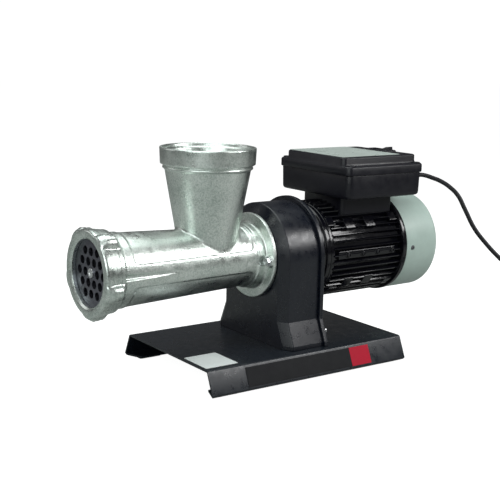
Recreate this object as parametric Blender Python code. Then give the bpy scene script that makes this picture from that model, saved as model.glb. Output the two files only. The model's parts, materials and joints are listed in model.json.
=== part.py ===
"""Electric meat grinder: tinned cutting head, two-stage gearbox on a pedestal, fan-cooled motor,
terminal box with a rocker switch, bent sheet base and a mains lead.

Metres, +Z up. The meat leaves towards -Y, the motor points to +Y, the origin is on the surface that
the grinder stands on, under the middle of its length. Places along the shaft are stations, counted
from the front face of the head's rear flange towards the motor; heights marked "over the axis" are
counted from the shaft axis.
"""
import math

import bmesh
import bpy
from mathutils import Matrix, Vector

MM = 0.001
GAP = 0.3 * MM             # between fixed pieces that seat on each other
RUN = 0.3 * MM             # radial clearance of a shaft, bearing or pin
SHARP = math.radians(32)
SIDES = ((9 * MM, 14), (34 * MM, 24))   # sides of a turned piece under each radius
WIDE_SIDES = 32                         # and of any wider one
ARC_STEPS = 16                          # over the pedestal's half-round top

# Overall layout
HEAD_REACH = 263.7 * MM    # ring nut's face ahead of the head flange
MOTOR_REACH = 314 * MM     # fan cover's end behind it
BASE_TOP = 37 * MM         # base plate's top over the surface
AXIS_HEIGHT = 126 * MM     # shaft axis over the base plate's top
AXIS_Z = BASE_TOP + AXIS_HEIGHT
FLANGE_Y = (HEAD_REACH - MOTOR_REACH) / 2

# Base: one bent sheet on four pads
SHEET = 2.5 * MM
PAD = 2 * MM
BASE_FRONT = -138.8 * MM   # station
BASE_LENGTH = 349 * MM
BASE_LIP_SPLAY = 14 * MM   # foot of each lip past the top's edge
BASE_FLANGE = 30 * MM      # inward flange under each lip
BASE_FOOT_BEND = 3 * MM
BASE_BEND = 4 * MM
BASE_MITRE = 12 * MM
PAD_LENGTH = 36 * MM
PAD_WIDTH = 18 * MM
PAD_CORNER = 3 * MM
LABEL_T = 0.4 * MM
LABEL_TOP_INSET = 4.5 * MM
LABEL_FOOT_INSET = 3 * MM
STRIP_FRONT = -79 * MM
STRIP_BACK = 106 * MM
BADGE_LENGTH = 36.6 * MM
STICKER_HALF_X = 28.5 * MM
STICKER_HALF_Y = 26 * MM
STICKER_CORNER = 1.5 * MM
STICKER_SIDE = 9 * MM      # sheet left beside the sticker
STICKER_FRONT = 4 * MM     # and ahead of it

# Head
PLATE_R = 49.3 * MM        # cutting plate, which sets the barrel's mouth and its nut
FLANGE_R = 62.6 * MM
FLANGE_T = 6 * MM
BARREL_R_REAR = 44.4 * MM
BARREL_R_FRONT = PLATE_R + 3 * MM
BARREL_REAR = -20 * MM
RING_BACK_TO_TAPER = 41.7 * MM
BARREL_WIDE = RING_BACK_TO_TAPER - HEAD_REACH
THREAD_ROOT = 10 * MM      # step between the taper and the thread
BARREL_WALL = 6 * MM
REAR_WALL = 8 * MM
THREAD_R = PLATE_R + 4.7 * MM
HOPPER_STATION = -73.7 * MM
HOPPER_TOP = 160.7 * MM    # over the axis
HOPPER_RIM = 23.7 * MM
HOPPER_RIM_R = 68.1 * MM
HOPPER_NECK_R = 62 * MM
HOPPER_SLOPE = 0.18
HOPPER_WALL = 5 * MM
HEAD_BOLT_R = 4 * MM
HEAD_BOLT_CIRCLE = FLANGE_R - 9.1 * MM
BOLT_HEAD_OVER = 2.5 * MM  # a hexagon head's corners past its shank
BOLT_HEAD_T = 5 * MM
BOLT_BOSS_R = 8.5 * MM
BOLT_BOSS_T = 3 * MM

# Cutting set
RING_R = THREAD_R + 5.5 * MM
RING_DEPTH = 30 * MM
RING_LIP = 7.7 * MM
RING_MOUTH_R = PLATE_R - 3.2 * MM
RING_CHAMFER = 2.5 * MM
RING_STEP = 8 * MM
RING_LUGS = 5
RING_LUG_R = 10 * MM
RING_LUG_REACH = RING_R + 8 * MM
PLATE_T = 12 * MM
PLATE_PROUD = 3.7 * MM
PLATE_HOLE_R = 6 * MM
PLATE_PITCH = 16.6 * MM
PLATE_HOLE_SIDES = 10
KEY_R = 2.2 * MM
KNIFE_T = 9 * MM
KNIFE_BLADES = 4
KNIFE_HUB_R = 14 * MM
KNIFE_CLEARANCE = 2 * MM
AUGER_CLEARANCE = 1.6 * MM
AUGER_CORE_R = 15 * MM
AUGER_PITCH = 40 * MM
FLIGHT_T = 6 * MM
PIN_R = 7 * MM
PIN_PROUD = 2 * MM
DRIVE_SQUARE = 15 * MM
DRIVE_DEPTH = 22 * MM

# Gearbox on its pedestal
DRUM_R = FLANGE_R + 16.1 * MM
DRUM_DROP = 2.45 * MM      # drum's centre under the shaft axis
CHAMFER_IN = 14.5 * MM
CHAMFER_BACK = 9.6 * MM
HOUSING_BACK = 70 * MM
HOUSING_WALL = 8 * MM
FLARE_TOP = 39 * MM - AXIS_HEIGHT
FOOT_TOP = 6 * MM - AXIS_HEIGHT
FOOT_HALF = DRUM_R + 14.3 * MM
BASE_HALF_TOP = FOOT_HALF + 13 * MM
BASE_HALF_FOOT = BASE_HALF_TOP + BASE_LIP_SPLAY
BASE_HALF_INNER = BASE_HALF_FOOT - BASE_FLANGE
COVER_T = 7.7 * MM
COVER_LIP = 4.2 * MM
COVER_CROWN = 2.4 * MM     # cover's arc over the drum's
COVER_BEVEL = 2 * MM
COVER_SCREW_R = 2 * MM
COVER_SCREW_Z = 20 * MM - AXIS_HEIGHT
CAVITY_BEVEL = 6 * MM
SCREW_DEPTH = 12 * MM
SCREW_HEAD_OVER = 2 * MM   # a round head's edge past its shank
SCREW_HEAD_T = 3.2 * MM
HUB_R = 37 * MM
HUB_BACK = 32 * MM
BOSS_R = 19 * MM
PEDESTAL_BOLT_R = 4 * MM
PEDESTAL_BOLT_STATION = 40 * MM
PEDESTAL_BOLT_X = FOOT_HALF - 21 * MM
PEDESTAL_FLOOR = 12 * MM

# Gear train: rotor pinion, layshaft gear, layshaft pinion, output gear
MODULE = 1.75 * MM
PRESSURE = math.radians(25)
BACKLASH = 0.4 * MM
MOTOR_TEETH = 14
LAY_GEAR_TEETH = 46
LAY_PINION_TEETH = 15
OUTPUT_TEETH = 45
CENTRES = (MOTOR_TEETH + LAY_GEAR_TEETH) * MODULE / 2
OUTPUT_GEAR_AT = 33.4 * MM
OUTPUT_GEAR_T = 13 * MM
LAY_GEAR_AT = 50.5 * MM
LAY_GEAR_T = 11 * MM
OUTPUT_R = 17 * MM
OUTPUT_SEAT_R = 14 * MM
OUTPUT_END = 48 * MM
BEARING_T = 9 * MM
OUTPUT_BEARING_R = 31 * MM
LAY_R = 8 * MM
LAY_BEARING_R = 15 * MM
SEAL_T = 5 * MM
SEAL_R = 27 * MM

# Motor
MOTOR_PINION_SEAT_R = 6.5 * MM
MOTOR_SHAFT_R = 9.5 * MM
SPIGOT_R = 24 * MM
FIN_R = 74 * MM
SHIELD_R = FIN_R - 2 * MM
SHIELD_DEPTH = 20 * MM
SHIELD_WALL = 7 * MM
MOTOR_BEARING_R = 20 * MM
FIN_ROOT_R = FIN_R - 7.5 * MM
FIN_COUNT = 44
FIN_SHARE = 0.34
FRAME_BORE_R = FIN_ROOT_R - 4.5 * MM
FRAME_BACK = MOTOR_REACH - 76 * MM
REAR_RING_R = FIN_R + 2.5 * MM
REAR_RING_T = 8 * MM
FAN_COVER_R = FIN_R + 1.6 * MM
FAN_COVER_WALL = 1.6 * MM
FAN_COVER_ROUND = 9 * MM
CORE_LENGTH = 80 * MM
CORE_FRONT = FRAME_BACK - 28 * MM - CORE_LENGTH
ROTOR_R = FRAME_BORE_R - 24 * MM
AIR_GAP = 0.6 * MM
WINDING_LENGTH = 18 * MM
WINDING_OUT = 6 * MM       # between the frame's bore and the winding heads
WINDING_IN = 4 * MM        # and between them and the rotor
FAN_R = FAN_COVER_R - 11.6 * MM
FAN_AT = MOTOR_REACH - 50 * MM
FAN_T = 24 * MM
FAN_BLADES = 7
FAN_BLADE_T = 2.4 * MM
FAN_DISC_T = 2.5 * MM
FAN_HUB_R = 16 * MM
GRILLE_SLOTS = 12
GRILLE_IN_R = 22 * MM
GRILLE_OUT_R = FAN_COVER_R - 19.6 * MM
FAN_SCREW_R = 2 * MM
FAN_SCREW_FROM_EDGE = 12 * MM

# Terminal box on the motor
BOX_STATION = FRAME_BACK - 47.7 * MM
BOX_HALF_X = 82.3 * MM
BOX_HALF_Y = 73.1 * MM
BOX_BOTTOM = FAN_COVER_R + 7.3 * MM    # over the axis
BOX_TOP = BOX_BOTTOM + 35.1 * MM
BOX_WALL = 3 * MM
BOX_CORNER = 8 * MM
NECK_HALF_X = 48 * MM
NECK_FRONT = FRAME_BACK - 103 * MM
NECK_WALL = 10 * MM
NECK_DEPTH = 30 * MM
LID_RIM_T = 13.2 * MM
LID_HALF_X = BOX_HALF_X + 1.4 * MM
LID_HALF_Y = BOX_HALF_Y + 2.7 * MM
LID_RAISED_HALF_X = LID_HALF_X - 15.4 * MM
LID_RAISED_HALF_Y = LID_HALF_Y - 2.2 * MM
LID_BEVEL = 2 * MM
LID_TOP = BOX_TOP + 25.9 * MM
NAMEPLATE_T = 0.5 * MM
NAMEPLATE_BORDER = 4.4 * MM
NAMEPLATE_LENGTH = 113 * MM
CAPACITOR_R = 14 * MM
CAPACITOR_LENGTH = 78 * MM
CAPACITOR_X = CAPACITOR_R + BOX_WALL + 3.4 * MM - BOX_HALF_X
BLOCK_HALF_X = 11 * MM
BLOCK_HALF_Y = 24 * MM
BLOCK_HEIGHT = 16 * MM
BLOCK_X = BOX_HALF_X - BOX_WALL - BLOCK_HALF_X - 7.4 * MM
SWITCH_X = 5 * MM
SWITCH_STATION = BOX_STATION + BOX_HALF_Y - 16.9 * MM
SWITCH_FRAME = 2 * MM      # bezel's edge past its body
SWITCH_LENGTH = 50 * MM
SWITCH_WIDTH = 23 * MM
SWITCH_BEZEL_T = 2.5 * MM
SWITCH_BODY_DEPTH = 13 * MM
SWITCH_BODY_WALL = 1.5 * MM
ROCKER_SIDE_GAP = 0.8 * MM
ROCKER_TILT = math.radians(10)

# Mains lead
CORD_R = 3.5 * MM
GLAND_X = 40 * MM
GLAND_Z = BOX_TOP - 11 * MM
GLAND_THREAD_R = 7 * MM
GLAND_NUT_R = 10.5 * MM
GLAND_NUT_T = 8.5 * MM
RELIEF_R = 7 * MM
RELIEF_LENGTH = 24 * MM
COIL_X = 245 * MM
COIL_Y = 383 * MM
COIL_IN_R = 29.5 * MM
COIL_OUT_R = 50.8 * MM
COIL_LIFT = 1.5 * MM
COIL_HEIGHT = 13.2 * MM
COIL_EDGE = 2.5 * MM
TAIL_LENGTH = 56 * MM
TAIL_STEPS = 8
TIE_T = 0.9 * MM
TIE_WIDTH = 8 * MM
TIE_ANGLE = math.radians(-60)
PLUG_R = 18.5 * MM
PLUG_LENGTH = 34 * MM
BOOT_LENGTH = 26 * MM
PLUG_PIN_R = 2.4 * MM
PLUG_PIN_LENGTH = 19 * MM
PLUG_PIN_PITCH = 19 * MM

# Route of the lead from the strain relief to the coil, in the row's frame, millimetres
CORD_ROUTE = (
    (40, 271.8, 270), (40, 277.5, 270), (42, 285.5, 268.8), (47, 294.7, 265.6), (57.5, 305.2, 260.3),
    (70, 314, 251.4), (80.5, 321, 240), (91, 328.5, 217.7), (103.5, 339, 188.7),
    (117.2, 352.2, 165.9), (131, 366.3, 146.1), (146, 382.3, 127.3), (162, 399, 107),
    (181, 415, 86), (204, 427, 65), (229, 433, 46.5), (251, 429.5, 31.5),
    (268.5, 420, 22.2), (280.5, 407.5, 18.8),
)

# Shared places worked out from the sizes above
RING_FACE = -HEAD_REACH
PLATE_FRONT = RING_FACE + RING_LIP + GAP
PLATE_BACK = PLATE_FRONT + PLATE_T
SEAT_BOTTOM = PLATE_BACK + GAP
BARREL_FRONT = PLATE_FRONT + PLATE_PROUD
KNIFE_BACK = PLATE_BACK + GAP + KNIFE_T
AUGER_FRONT = KNIFE_BACK + GAP
AUGER_BACK = -REAR_WALL - 2 * MM
HOUSING_FACE = FLANGE_T + GAP
COVER_FRONT = HOUSING_BACK + GAP
COVER_BACK = COVER_FRONT + COVER_T
SHIELD_FRONT = COVER_BACK + GAP
FRAME_FRONT = SHIELD_FRONT + SHIELD_DEPTH + GAP
REAR_RING_FRONT = FRAME_BACK + GAP
REAR_RING_BACK = REAR_RING_FRONT + REAR_RING_T
FAN_COVER_FRONT = REAR_RING_BACK + GAP
SEAL_FRONT = HOUSING_FACE + GAP
OUTPUT_BEARING_FRONT = SEAL_FRONT + SEAL_T + GAP
OUTPUT_BEARING_REAR = OUTPUT_BEARING_FRONT + BEARING_T + GAP
LAY_BEARING_AT = HOUSING_FACE + HOUSING_WALL
LAY_FRONT = LAY_BEARING_AT + GAP
LAY_REAR_BEARING_AT = LAY_GEAR_AT + LAY_GEAR_T + 3 * MM
LAY_BACK = LAY_REAR_BEARING_AT + BEARING_T
ROTOR_FRONT = OUTPUT_END + 1.5 * MM
MOTOR_BEARING_FRONT = SHIELD_FRONT + SHIELD_WALL
REAR_BEARING_AT = REAR_RING_FRONT - BEARING_T
FAN_BACK = FAN_AT + FAN_T
LID_BOTTOM = BOX_TOP + GAP
SHAFT = Vector((0, FLANGE_Y, AXIS_Z))
LAYSHAFT = SHAFT - Vector((0, 0, CENTRES))

COLORS = {
    "tinned_iron": ((0.72, 0.76, 0.72), 0.28, 1.0),
    "black_casting": ((0.03, 0.035, 0.045), 0.35, 0.0),
    "black_sheet": ((0.035, 0.045, 0.055), 0.4, 0.0),
    "black_motor": ((0.012, 0.012, 0.018), 0.15, 0.0),
    "fan_cover_paint": ((0.45, 0.56, 0.52), 0.45, 0.0),
    "black_plastic": ((0.02, 0.02, 0.025), 0.4, 0.0),
    "black_rubber": ((0.015, 0.015, 0.015), 0.6, 0.0),
    "steel": ((0.55, 0.55, 0.55), 0.3, 1.0),
    "hard_steel": ((0.45, 0.46, 0.47), 0.25, 1.0),
    "core_steel": ((0.3, 0.3, 0.32), 0.5, 1.0),
    "copper_winding": ((0.6, 0.25, 0.1), 0.4, 1.0),
    "capacitor_shell": ((0.75, 0.75, 0.72), 0.4, 0.0),
    "nameplate": ((0.6, 0.65, 0.62), 0.35, 0.0),
    "white_label": ((0.8, 0.82, 0.8), 0.4, 0.0),
    "dark_label": ((0.02, 0.02, 0.025), 0.2, 0.0),
    "red_label": ((0.55, 0.0, 0.02), 0.25, 0.0),
}


# ---- building helpers -------------------------------------------------------------------------

def make_materials():
    """One Principled material for each finish."""
    made = {}
    for name, (color, roughness, metallic) in COLORS.items():
        material = bpy.data.materials.new(name)
        material.use_nodes = True
        shader = material.node_tree.nodes["Principled BSDF"]
        shader.inputs["Base Color"].default_value = (*color, 1)
        shader.inputs["Roughness"].default_value = roughness
        shader.inputs["Metallic"].default_value = metallic
        made[name] = material
    return made


def finish_object(name, bm, finish, place=(0, 0, 0)):
    """Turns a bmesh, made around its own origin, into a named object at place."""
    bmesh.ops.remove_doubles(bm, verts=bm.verts, dist=1e-6)
    bmesh.ops.dissolve_degenerate(bm, edges=bm.edges, dist=1e-6)
    bmesh.ops.recalc_face_normals(bm, faces=bm.faces)
    mesh = bpy.data.meshes.new(name)
    bm.to_mesh(mesh)
    bm.free()
    mesh.shade_smooth()
    mesh.set_sharp_from_angle(angle=SHARP)
    mesh.materials.append(MATERIALS[finish])
    made = bpy.data.objects.new(name, mesh)
    made.location = place
    bpy.context.scene.collection.objects.link(made)
    return made


def combine(operation, base, *tools):
    """Boolean of bmeshes with the exact solver: the tools are joined to base or cut from it."""
    for tool in tools:
        first = finish_object("base", base, "steel")
        second = finish_object("tool", tool, "steel")
        modifier = first.modifiers.new("combine", "BOOLEAN")
        modifier.operation = operation
        modifier.solver = "EXACT"
        modifier.object = second
        depsgraph = bpy.context.evaluated_depsgraph_get()
        base = bmesh.new()
        base.from_mesh(first.evaluated_get(depsgraph).to_mesh())
        for used in (first, second):
            mesh = used.data
            bpy.data.objects.remove(used)
            bpy.data.meshes.remove(mesh)
    return base


def cut(base, *tools):
    return combine("DIFFERENCE", base, *tools)


def join(base, *tools):
    return combine("UNION", base, *tools)


def moved(bm, x=0.0, y=0.0, z=0.0):
    bmesh.ops.translate(bm, verts=bm.verts, vec=(x, y, z))
    return bm


def sides_for(radius):
    """Near radii get the same sides, so that a pin and its hole are the same polygon."""
    for limit, sides in SIDES:
        if radius < limit:
            return sides
    return WIDE_SIDES


def turned(profile, axis="Y", sides=None):
    """Turns a profile of (radius, place along the axis). A profile that starts and ends on the axis
    is solid; any other is a closed ring."""
    sides = sides or sides_for(max(radius for radius, _ in profile))
    bm = bmesh.new()
    rings = []
    for radius, place in profile:
        ring = []
        for i in range(sides if radius else 1):
            angle = math.tau * i / sides
            a, b = radius * math.cos(angle), radius * math.sin(angle)
            ring.append(bm.verts.new((a, place, b) if axis == "Y" else (a, b, place)))
        rings.append(ring)
    pairs = list(zip(rings, rings[1:]))
    if len(rings[0]) > 1:
        pairs.append((rings[-1], rings[0]))
    for low, high in pairs:
        for i in range(sides):
            corners = [low[i % len(low)], low[(i + 1) % len(low)]]
            corners += [high[(i + 1) % len(high)], high[i % len(high)]]
            bm.faces.new(dict.fromkeys(corners))
    bmesh.ops.recalc_face_normals(bm, faces=bm.faces)
    return bm


def rod(radius, low, high, axis="Y", sides=None):
    return turned([(0, low), (radius, low), (radius, high), (0, high)], axis, sides)


def tube(outer, inner, low, high):
    return turned([(inner, low), (outer, low), (outer, high), (inner, high)])


def loft(outlines):
    """Solid through outlines of 3-D points with the same count, closed by its two end faces."""
    bm = bmesh.new()
    rings = [[bm.verts.new(point) for point in outline] for outline in outlines]
    for low, high in zip(rings, rings[1:]):
        for i in range(len(low)):
            j = (i + 1) % len(low)
            bm.faces.new((low[i], low[j], high[j], high[i]))
    bm.faces.new(rings[0])
    bm.faces.new(reversed(rings[-1]))
    bmesh.ops.recalc_face_normals(bm, faces=bm.faces)
    return bm


def prism(outline, low, high, axis="Y"):
    """Straight solid over an outline: (x, z) points along Y, (x, y) along Z, (y, z) along X."""
    if axis == "Y":
        return loft([[(a, level, b) for a, b in outline] for level in (low, high)])
    if axis == "Z":
        return loft([[(a, b, level) for a, b in outline] for level in (low, high)])
    return loft([[(level, a, b) for a, b in outline] for level in (low, high)])


def rectangle(half_a, half_b, corner=0.0, steps=4):
    """Outline of a rectangle round the origin, with round corners if corner is given."""
    if not corner:
        return [(-half_a, -half_b), (half_a, -half_b), (half_a, half_b), (-half_a, half_b)]
    points = []
    for quarter, (sa, sb) in enumerate(((1, 1), (-1, 1), (-1, -1), (1, -1))):
        for i in range(steps + 1):
            angle = math.pi / 2 * (quarter + i / steps)
            a = sa * (half_a - corner) + corner * math.cos(angle)
            b = sb * (half_b - corner) + corner * math.sin(angle)
            points.append((a, b))
    return points


def shifted(outline, a, b):
    return [(p + a, q + b) for p, q in outline]


def rounded_path(points, radius, steps=3):
    """Polyline whose inner corners are round."""
    path = [Vector(points[0])]
    for before, corner, after in zip(points, points[1:], points[2:]):
        corner = Vector(corner)
        back = (Vector(before) - corner).normalized()
        ahead = (Vector(after) - corner).normalized()
        half = back.angle(ahead) / 2
        reach = radius / math.tan(half)
        centre = corner + (back + ahead).normalized() * (radius / math.sin(half))
        start = corner + back * reach - centre
        swing = start.angle_signed(corner + ahead * reach - centre)
        for i in range(steps + 1):
            path.append(centre + Matrix.Rotation(-swing * i / steps, 2) @ start)
    path.append(Vector(points[-1]))
    return path


# ---- base -------------------------------------------------------------------------------------

def base_outline():
    """Outer side of the sheet's cross-section, from the left flange over the top to the right."""
    bottom = PAD
    right = [
        (BASE_HALF_TOP, BASE_TOP), (BASE_HALF_FOOT, bottom + BASE_FOOT_BEND),
        (BASE_HALF_FOOT - BASE_FOOT_BEND, bottom), (BASE_HALF_INNER, bottom),
    ]
    left = [(-x, z) for x, z in reversed(right)]
    return rounded_path(left + right, BASE_BEND / 2)


def base_plate():
    """Sheet with two splayed lips and inward flanges whose ends are mitred."""
    outer = base_outline()
    sides = []
    for i, point in enumerate(outer):
        before = (point - outer[i - 1]).normalized() if i else Vector((-1, 0))
        after = (outer[i + 1] - point).normalized() if i + 1 < len(outer) else before
        before = before if i else after
        along = (before + after).normalized()
        inward = Vector((along.y, -along.x))
        sides.append(point + inward * SHEET / max(along.dot(after), 0.5))
    front, back = FLANGE_Y + BASE_FRONT, FLANGE_Y + BASE_FRONT + BASE_LENGTH
    bm = bmesh.new()
    rings = []
    for over, under in zip(outer, sides):
        share = (BASE_HALF_FOOT - abs(over.x)) / (BASE_HALF_FOOT - BASE_HALF_INNER)
        mitre = BASE_MITRE * max(0.0, share) if over.y < PAD + SHEET else 0.0
        corners = ((over, front + mitre), (over, back - mitre), (under, back - mitre), (under, front + mitre))
        rings.append([bm.verts.new((p.x, y, p.y)) for p, y in corners])
    for low, high in zip(rings, rings[1:]):
        for i in range(4):
            j = (i + 1) % 4
            bm.faces.new((low[i], low[j], high[j], high[i]))
    bm.faces.new(rings[0])
    bm.faces.new(reversed(rings[-1]))
    holes = [
        moved(rod(PEDESTAL_BOLT_R + RUN, -SHEET, SHEET * 2, axis="Z"), side * PEDESTAL_BOLT_X,
              FLANGE_Y + PEDESTAL_BOLT_STATION, BASE_TOP - SHEET)
        for side in (-1, 1)
    ]
    finish_object("base_plate", cut(bm, *holes), "black_sheet")


def foot_pads():
    """Thin rubber pads between the base flanges and the surface."""
    x = (BASE_HALF_FOOT + BASE_HALF_INNER) / 2 - 2 * MM
    front = FLANGE_Y + BASE_FRONT + BASE_MITRE + PAD_LENGTH / 2
    back = front + BASE_LENGTH - 2 * BASE_MITRE - PAD_LENGTH
    for row, y in (("front", front), ("rear", back)):
        for side, sign in (("left", -1), ("right", 1)):
            pad = prism(rectangle(PAD_WIDTH / 2, PAD_LENGTH / 2, PAD_CORNER), 0, PAD - GAP, "Z")
            finish_object(f"foot_pad_{row}_{side}", pad, "black_rubber", (sign * x, y, 0))


def base_labels():
    """Blank strips on the right-hand lip and a blank sticker on the base's front corner."""
    top = Vector((BASE_HALF_TOP, 0, BASE_TOP))
    foot = Vector((BASE_HALF_FOOT, 0, PAD + BASE_FOOT_BEND))
    down = (foot - top).normalized()
    out = Vector((-down.z, 0, down.x))
    near = top + down * LABEL_TOP_INSET + out * GAP
    far = foot - down * LABEL_FOOT_INSET + out * GAP
    badge_front = STRIP_BACK + LABEL_T
    for name, finish, start, end in (
        ("label_strip", "dark_label", STRIP_FRONT, STRIP_BACK),
        ("red_badge", "red_label", badge_front, badge_front + BADGE_LENGTH),
    ):
        corners = [near, far, far + out * LABEL_T, near + out * LABEL_T]
        bm = loft([[(c.x, FLANGE_Y + y, c.z) for c in corners] for y in (start, end)])
        finish_object(name, bm, finish)
    outline = rectangle(STICKER_HALF_X, STICKER_HALF_Y, STICKER_CORNER, 2)
    sticker = prism(outline, BASE_TOP + GAP, BASE_TOP + GAP + LABEL_T, "Z")
    sticker_x = BASE_HALF_TOP - STICKER_SIDE - STICKER_HALF_X
    sticker_y = FLANGE_Y + BASE_FRONT + STICKER_FRONT + STICKER_HALF_Y
    finish_object("rating_sticker", sticker, "white_label", (sticker_x, sticker_y, 0))


# ---- cutting head -----------------------------------------------------------------------------

def barrel_radius(station):
    share = (station - BARREL_WIDE) / (BARREL_REAR - BARREL_WIDE)
    return BARREL_R_FRONT + (BARREL_R_REAR - BARREL_R_FRONT) * min(1.0, max(0.0, share))


def bore_radius(station):
    return barrel_radius(station) - BARREL_WALL


def hopper_radius(height):
    """Outer radius of the hopper's cone at a height over the axis."""
    return HOPPER_NECK_R - HOPPER_SLOPE * (HOPPER_TOP - HOPPER_RIM - height)


def grinder_body():
    """Tapered barrel with a rear flange, a threaded front and a hopper that opens into the bore."""
    outside = turned([
        (0, BARREL_FRONT), (THREAD_R, BARREL_FRONT), (THREAD_R, BARREL_WIDE - THREAD_ROOT),
        (BARREL_R_FRONT, BARREL_WIDE), (barrel_radius(BARREL_REAR), BARREL_REAR),
        (BARREL_R_REAR, -8 * MM), (BARREL_R_REAR + 1.5 * MM, -3 * MM), (BARREL_R_REAR + 5 * MM, 0),
        (FLANGE_R, 0), (FLANGE_R, FLANGE_T), (0, FLANGE_T),
    ])
    rim_low = HOPPER_TOP - HOPPER_RIM
    hopper = moved(turned([
        (0, 0), (hopper_radius(0), 0), (hopper_radius(rim_low), rim_low),
        (HOPPER_RIM_R, rim_low + 1.5 * MM), (HOPPER_RIM_R, HOPPER_TOP - 1 * MM),
        (HOPPER_RIM_R - 1 * MM, HOPPER_TOP), (0, HOPPER_TOP),
    ], axis="Z"), y=HOPPER_STATION)
    bosses = [
        moved(rod(BOLT_BOSS_R, -BOLT_BOSS_T, FLANGE_T / 2), x=side * HEAD_BOLT_CIRCLE) for side in (-1, 1)
    ]
    solid = join(outside, hopper, *bosses)
    bore = turned([
        (0, BARREL_FRONT - 5 * MM), (PLATE_R + RUN, BARREL_FRONT - 5 * MM), (PLATE_R + RUN, SEAT_BOTTOM),
        (bore_radius(SEAT_BOTTOM), SEAT_BOTTOM), (bore_radius(BARREL_WIDE), BARREL_WIDE),
        (bore_radius(BARREL_REAR), BARREL_REAR), (bore_radius(BARREL_REAR), -REAR_WALL),
        (OUTPUT_R + RUN, -REAR_WALL), (OUTPUT_R + RUN, FLANGE_T + 5 * MM), (0, FLANGE_T + 5 * MM),
    ])
    throat = moved(turned([
        (0, 0), (hopper_radius(0) - HOPPER_WALL, 0), (hopper_radius(rim_low) - HOPPER_WALL, rim_low),
        (HOPPER_RIM_R - HOPPER_WALL, HOPPER_TOP - 4 * MM), (HOPPER_RIM_R - HOPPER_WALL, HOPPER_TOP + 5 * MM),
        (0, HOPPER_TOP + 5 * MM),
    ], axis="Z"), y=HOPPER_STATION)
    holes = [
        moved(rod(HEAD_BOLT_R + RUN, -20 * MM, FLANGE_T + 5 * MM), x=side * HEAD_BOLT_CIRCLE)
        for side in (-1, 1)
    ]
    key_seat = moved(rod(KEY_R + RUN, SEAT_BOTTOM - 8 * MM, SEAT_BOTTOM + 6 * MM), z=-PLATE_R)
    finish_object("grinder_body", cut(solid, bore, throat, key_seat, *holes), "tinned_iron", SHAFT)


def plate_key():
    """Pin in the barrel's seat that keeps the cutting plate from turning."""
    key = rod(KEY_R, SEAT_BOTTOM - 7 * MM, SEAT_BOTTOM + 5.5 * MM)
    finish_object("plate_key", key, "hard_steel", SHAFT - Vector((0, 0, PLATE_R)))


def head_bolts():
    for name, side in (("head_bolt_left", -1), ("head_bolt_right", 1)):
        seat = -BOLT_BOSS_T - GAP
        head = rod(HEAD_BOLT_R + BOLT_HEAD_OVER, seat - BOLT_HEAD_T, seat, sides=6)
        shank = rod(HEAD_BOLT_R, -BOLT_BOSS_T - 2 * MM, HOUSING_FACE + HOUSING_WALL - 1 * MM)
        place = SHAFT + Vector((side * HEAD_BOLT_CIRCLE, 0, 0))
        finish_object(name, join(head, shank), "steel", place)


def auger():
    """Feed screw: tapered flight on a core, square drive at the rear, knife square and pin in front."""
    turns = (AUGER_BACK - AUGER_FRONT) / AUGER_PITCH
    steps = 16
    bm = bmesh.new()
    rings = []
    for i in range(int((turns + 1) * steps) + 1):
        angle = math.tau * i / steps
        middle = AUGER_FRONT - AUGER_PITCH / 2 + AUGER_PITCH * i / steps
        tip = bore_radius(middle) - AUGER_CLEARANCE
        ring = []
        for radius, place in (
            (AUGER_CORE_R - 3 * MM, -FLIGHT_T), (tip, -FLIGHT_T / 2),
            (tip, FLIGHT_T / 2), (AUGER_CORE_R - 3 * MM, FLIGHT_T),
        ):
            x, z = radius * math.cos(angle), radius * math.sin(angle)
            ring.append(bm.verts.new((x, middle + place, z)))
        rings.append(ring)
    for low, high in zip(rings, rings[1:]):
        for i in range(4):
            j = (i + 1) % 4
            bm.faces.new((low[i], low[j], high[j], high[i]))
    bm.faces.new(rings[0])
    bm.faces.new(reversed(rings[-1]))
    bmesh.ops.triangulate(bm, faces=bm.faces)
    bmesh.ops.recalc_face_normals(bm, faces=bm.faces)
    keep = rod(BARREL_R_FRONT * 2, AUGER_FRONT, AUGER_BACK)
    flight = combine("INTERSECT", bm, keep)
    core = rod(AUGER_CORE_R, AUGER_FRONT, AUGER_BACK)
    drive = rectangle(DRIVE_SQUARE / 2, DRIVE_SQUARE / 2)
    square = prism(drive, AUGER_BACK - 1 * MM, AUGER_BACK + DRIVE_DEPTH)
    knife_square = prism(rectangle(PIN_R * 0.9, PIN_R * 0.9), AUGER_FRONT - KNIFE_T, AUGER_FRONT + 1 * MM)
    pin = rod(PIN_R, PLATE_FRONT - PIN_PROUD, AUGER_FRONT - KNIFE_T + 1 * MM)
    finish_object("auger", join(core, flight, square, knife_square, pin), "tinned_iron", SHAFT)


def knife():
    """Cross knife on the auger's square, running against the plate."""
    front, back = PLATE_BACK + GAP, KNIFE_BACK
    reach = bore_radius(back) - KNIFE_CLEARANCE
    hub = rod(KNIFE_HUB_R, front, back)
    blades = []
    for i in range(KNIFE_BLADES):
        outline = [(5 * MM, -6 * MM), (reach, -4.5 * MM), (reach, 3.5 * MM), (5 * MM, 6 * MM)]
        blade = prism(outline, front, back - 1.5 * MM)
        spin = Matrix.Rotation(math.tau * (i + 0.5) / KNIFE_BLADES, 3, "Y")
        bmesh.ops.rotate(blade, verts=blade.verts, matrix=spin)
        blades.append(blade)
    side = PIN_R * 0.9 + RUN
    square = prism(rectangle(side, side), front - 5 * MM, back + 5 * MM)
    round_hole = rod(PIN_R + RUN, front - 5 * MM, front + 2 * MM)
    finish_object("knife", cut(join(hub, *blades), square, round_hole), "hard_steel", SHAFT)


def plate_hole_places():
    """Rows of 3, 4, 5, 4 and 3 holes on a triangular grid; the middle one is the pin's."""
    places = []
    for row in range(-2, 3):
        count = 5 - abs(row)
        for i in range(count):
            places.append(((i - (count - 1) / 2) * PLATE_PITCH, row * PLATE_PITCH * math.sqrt(3) / 2))
    return places


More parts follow.
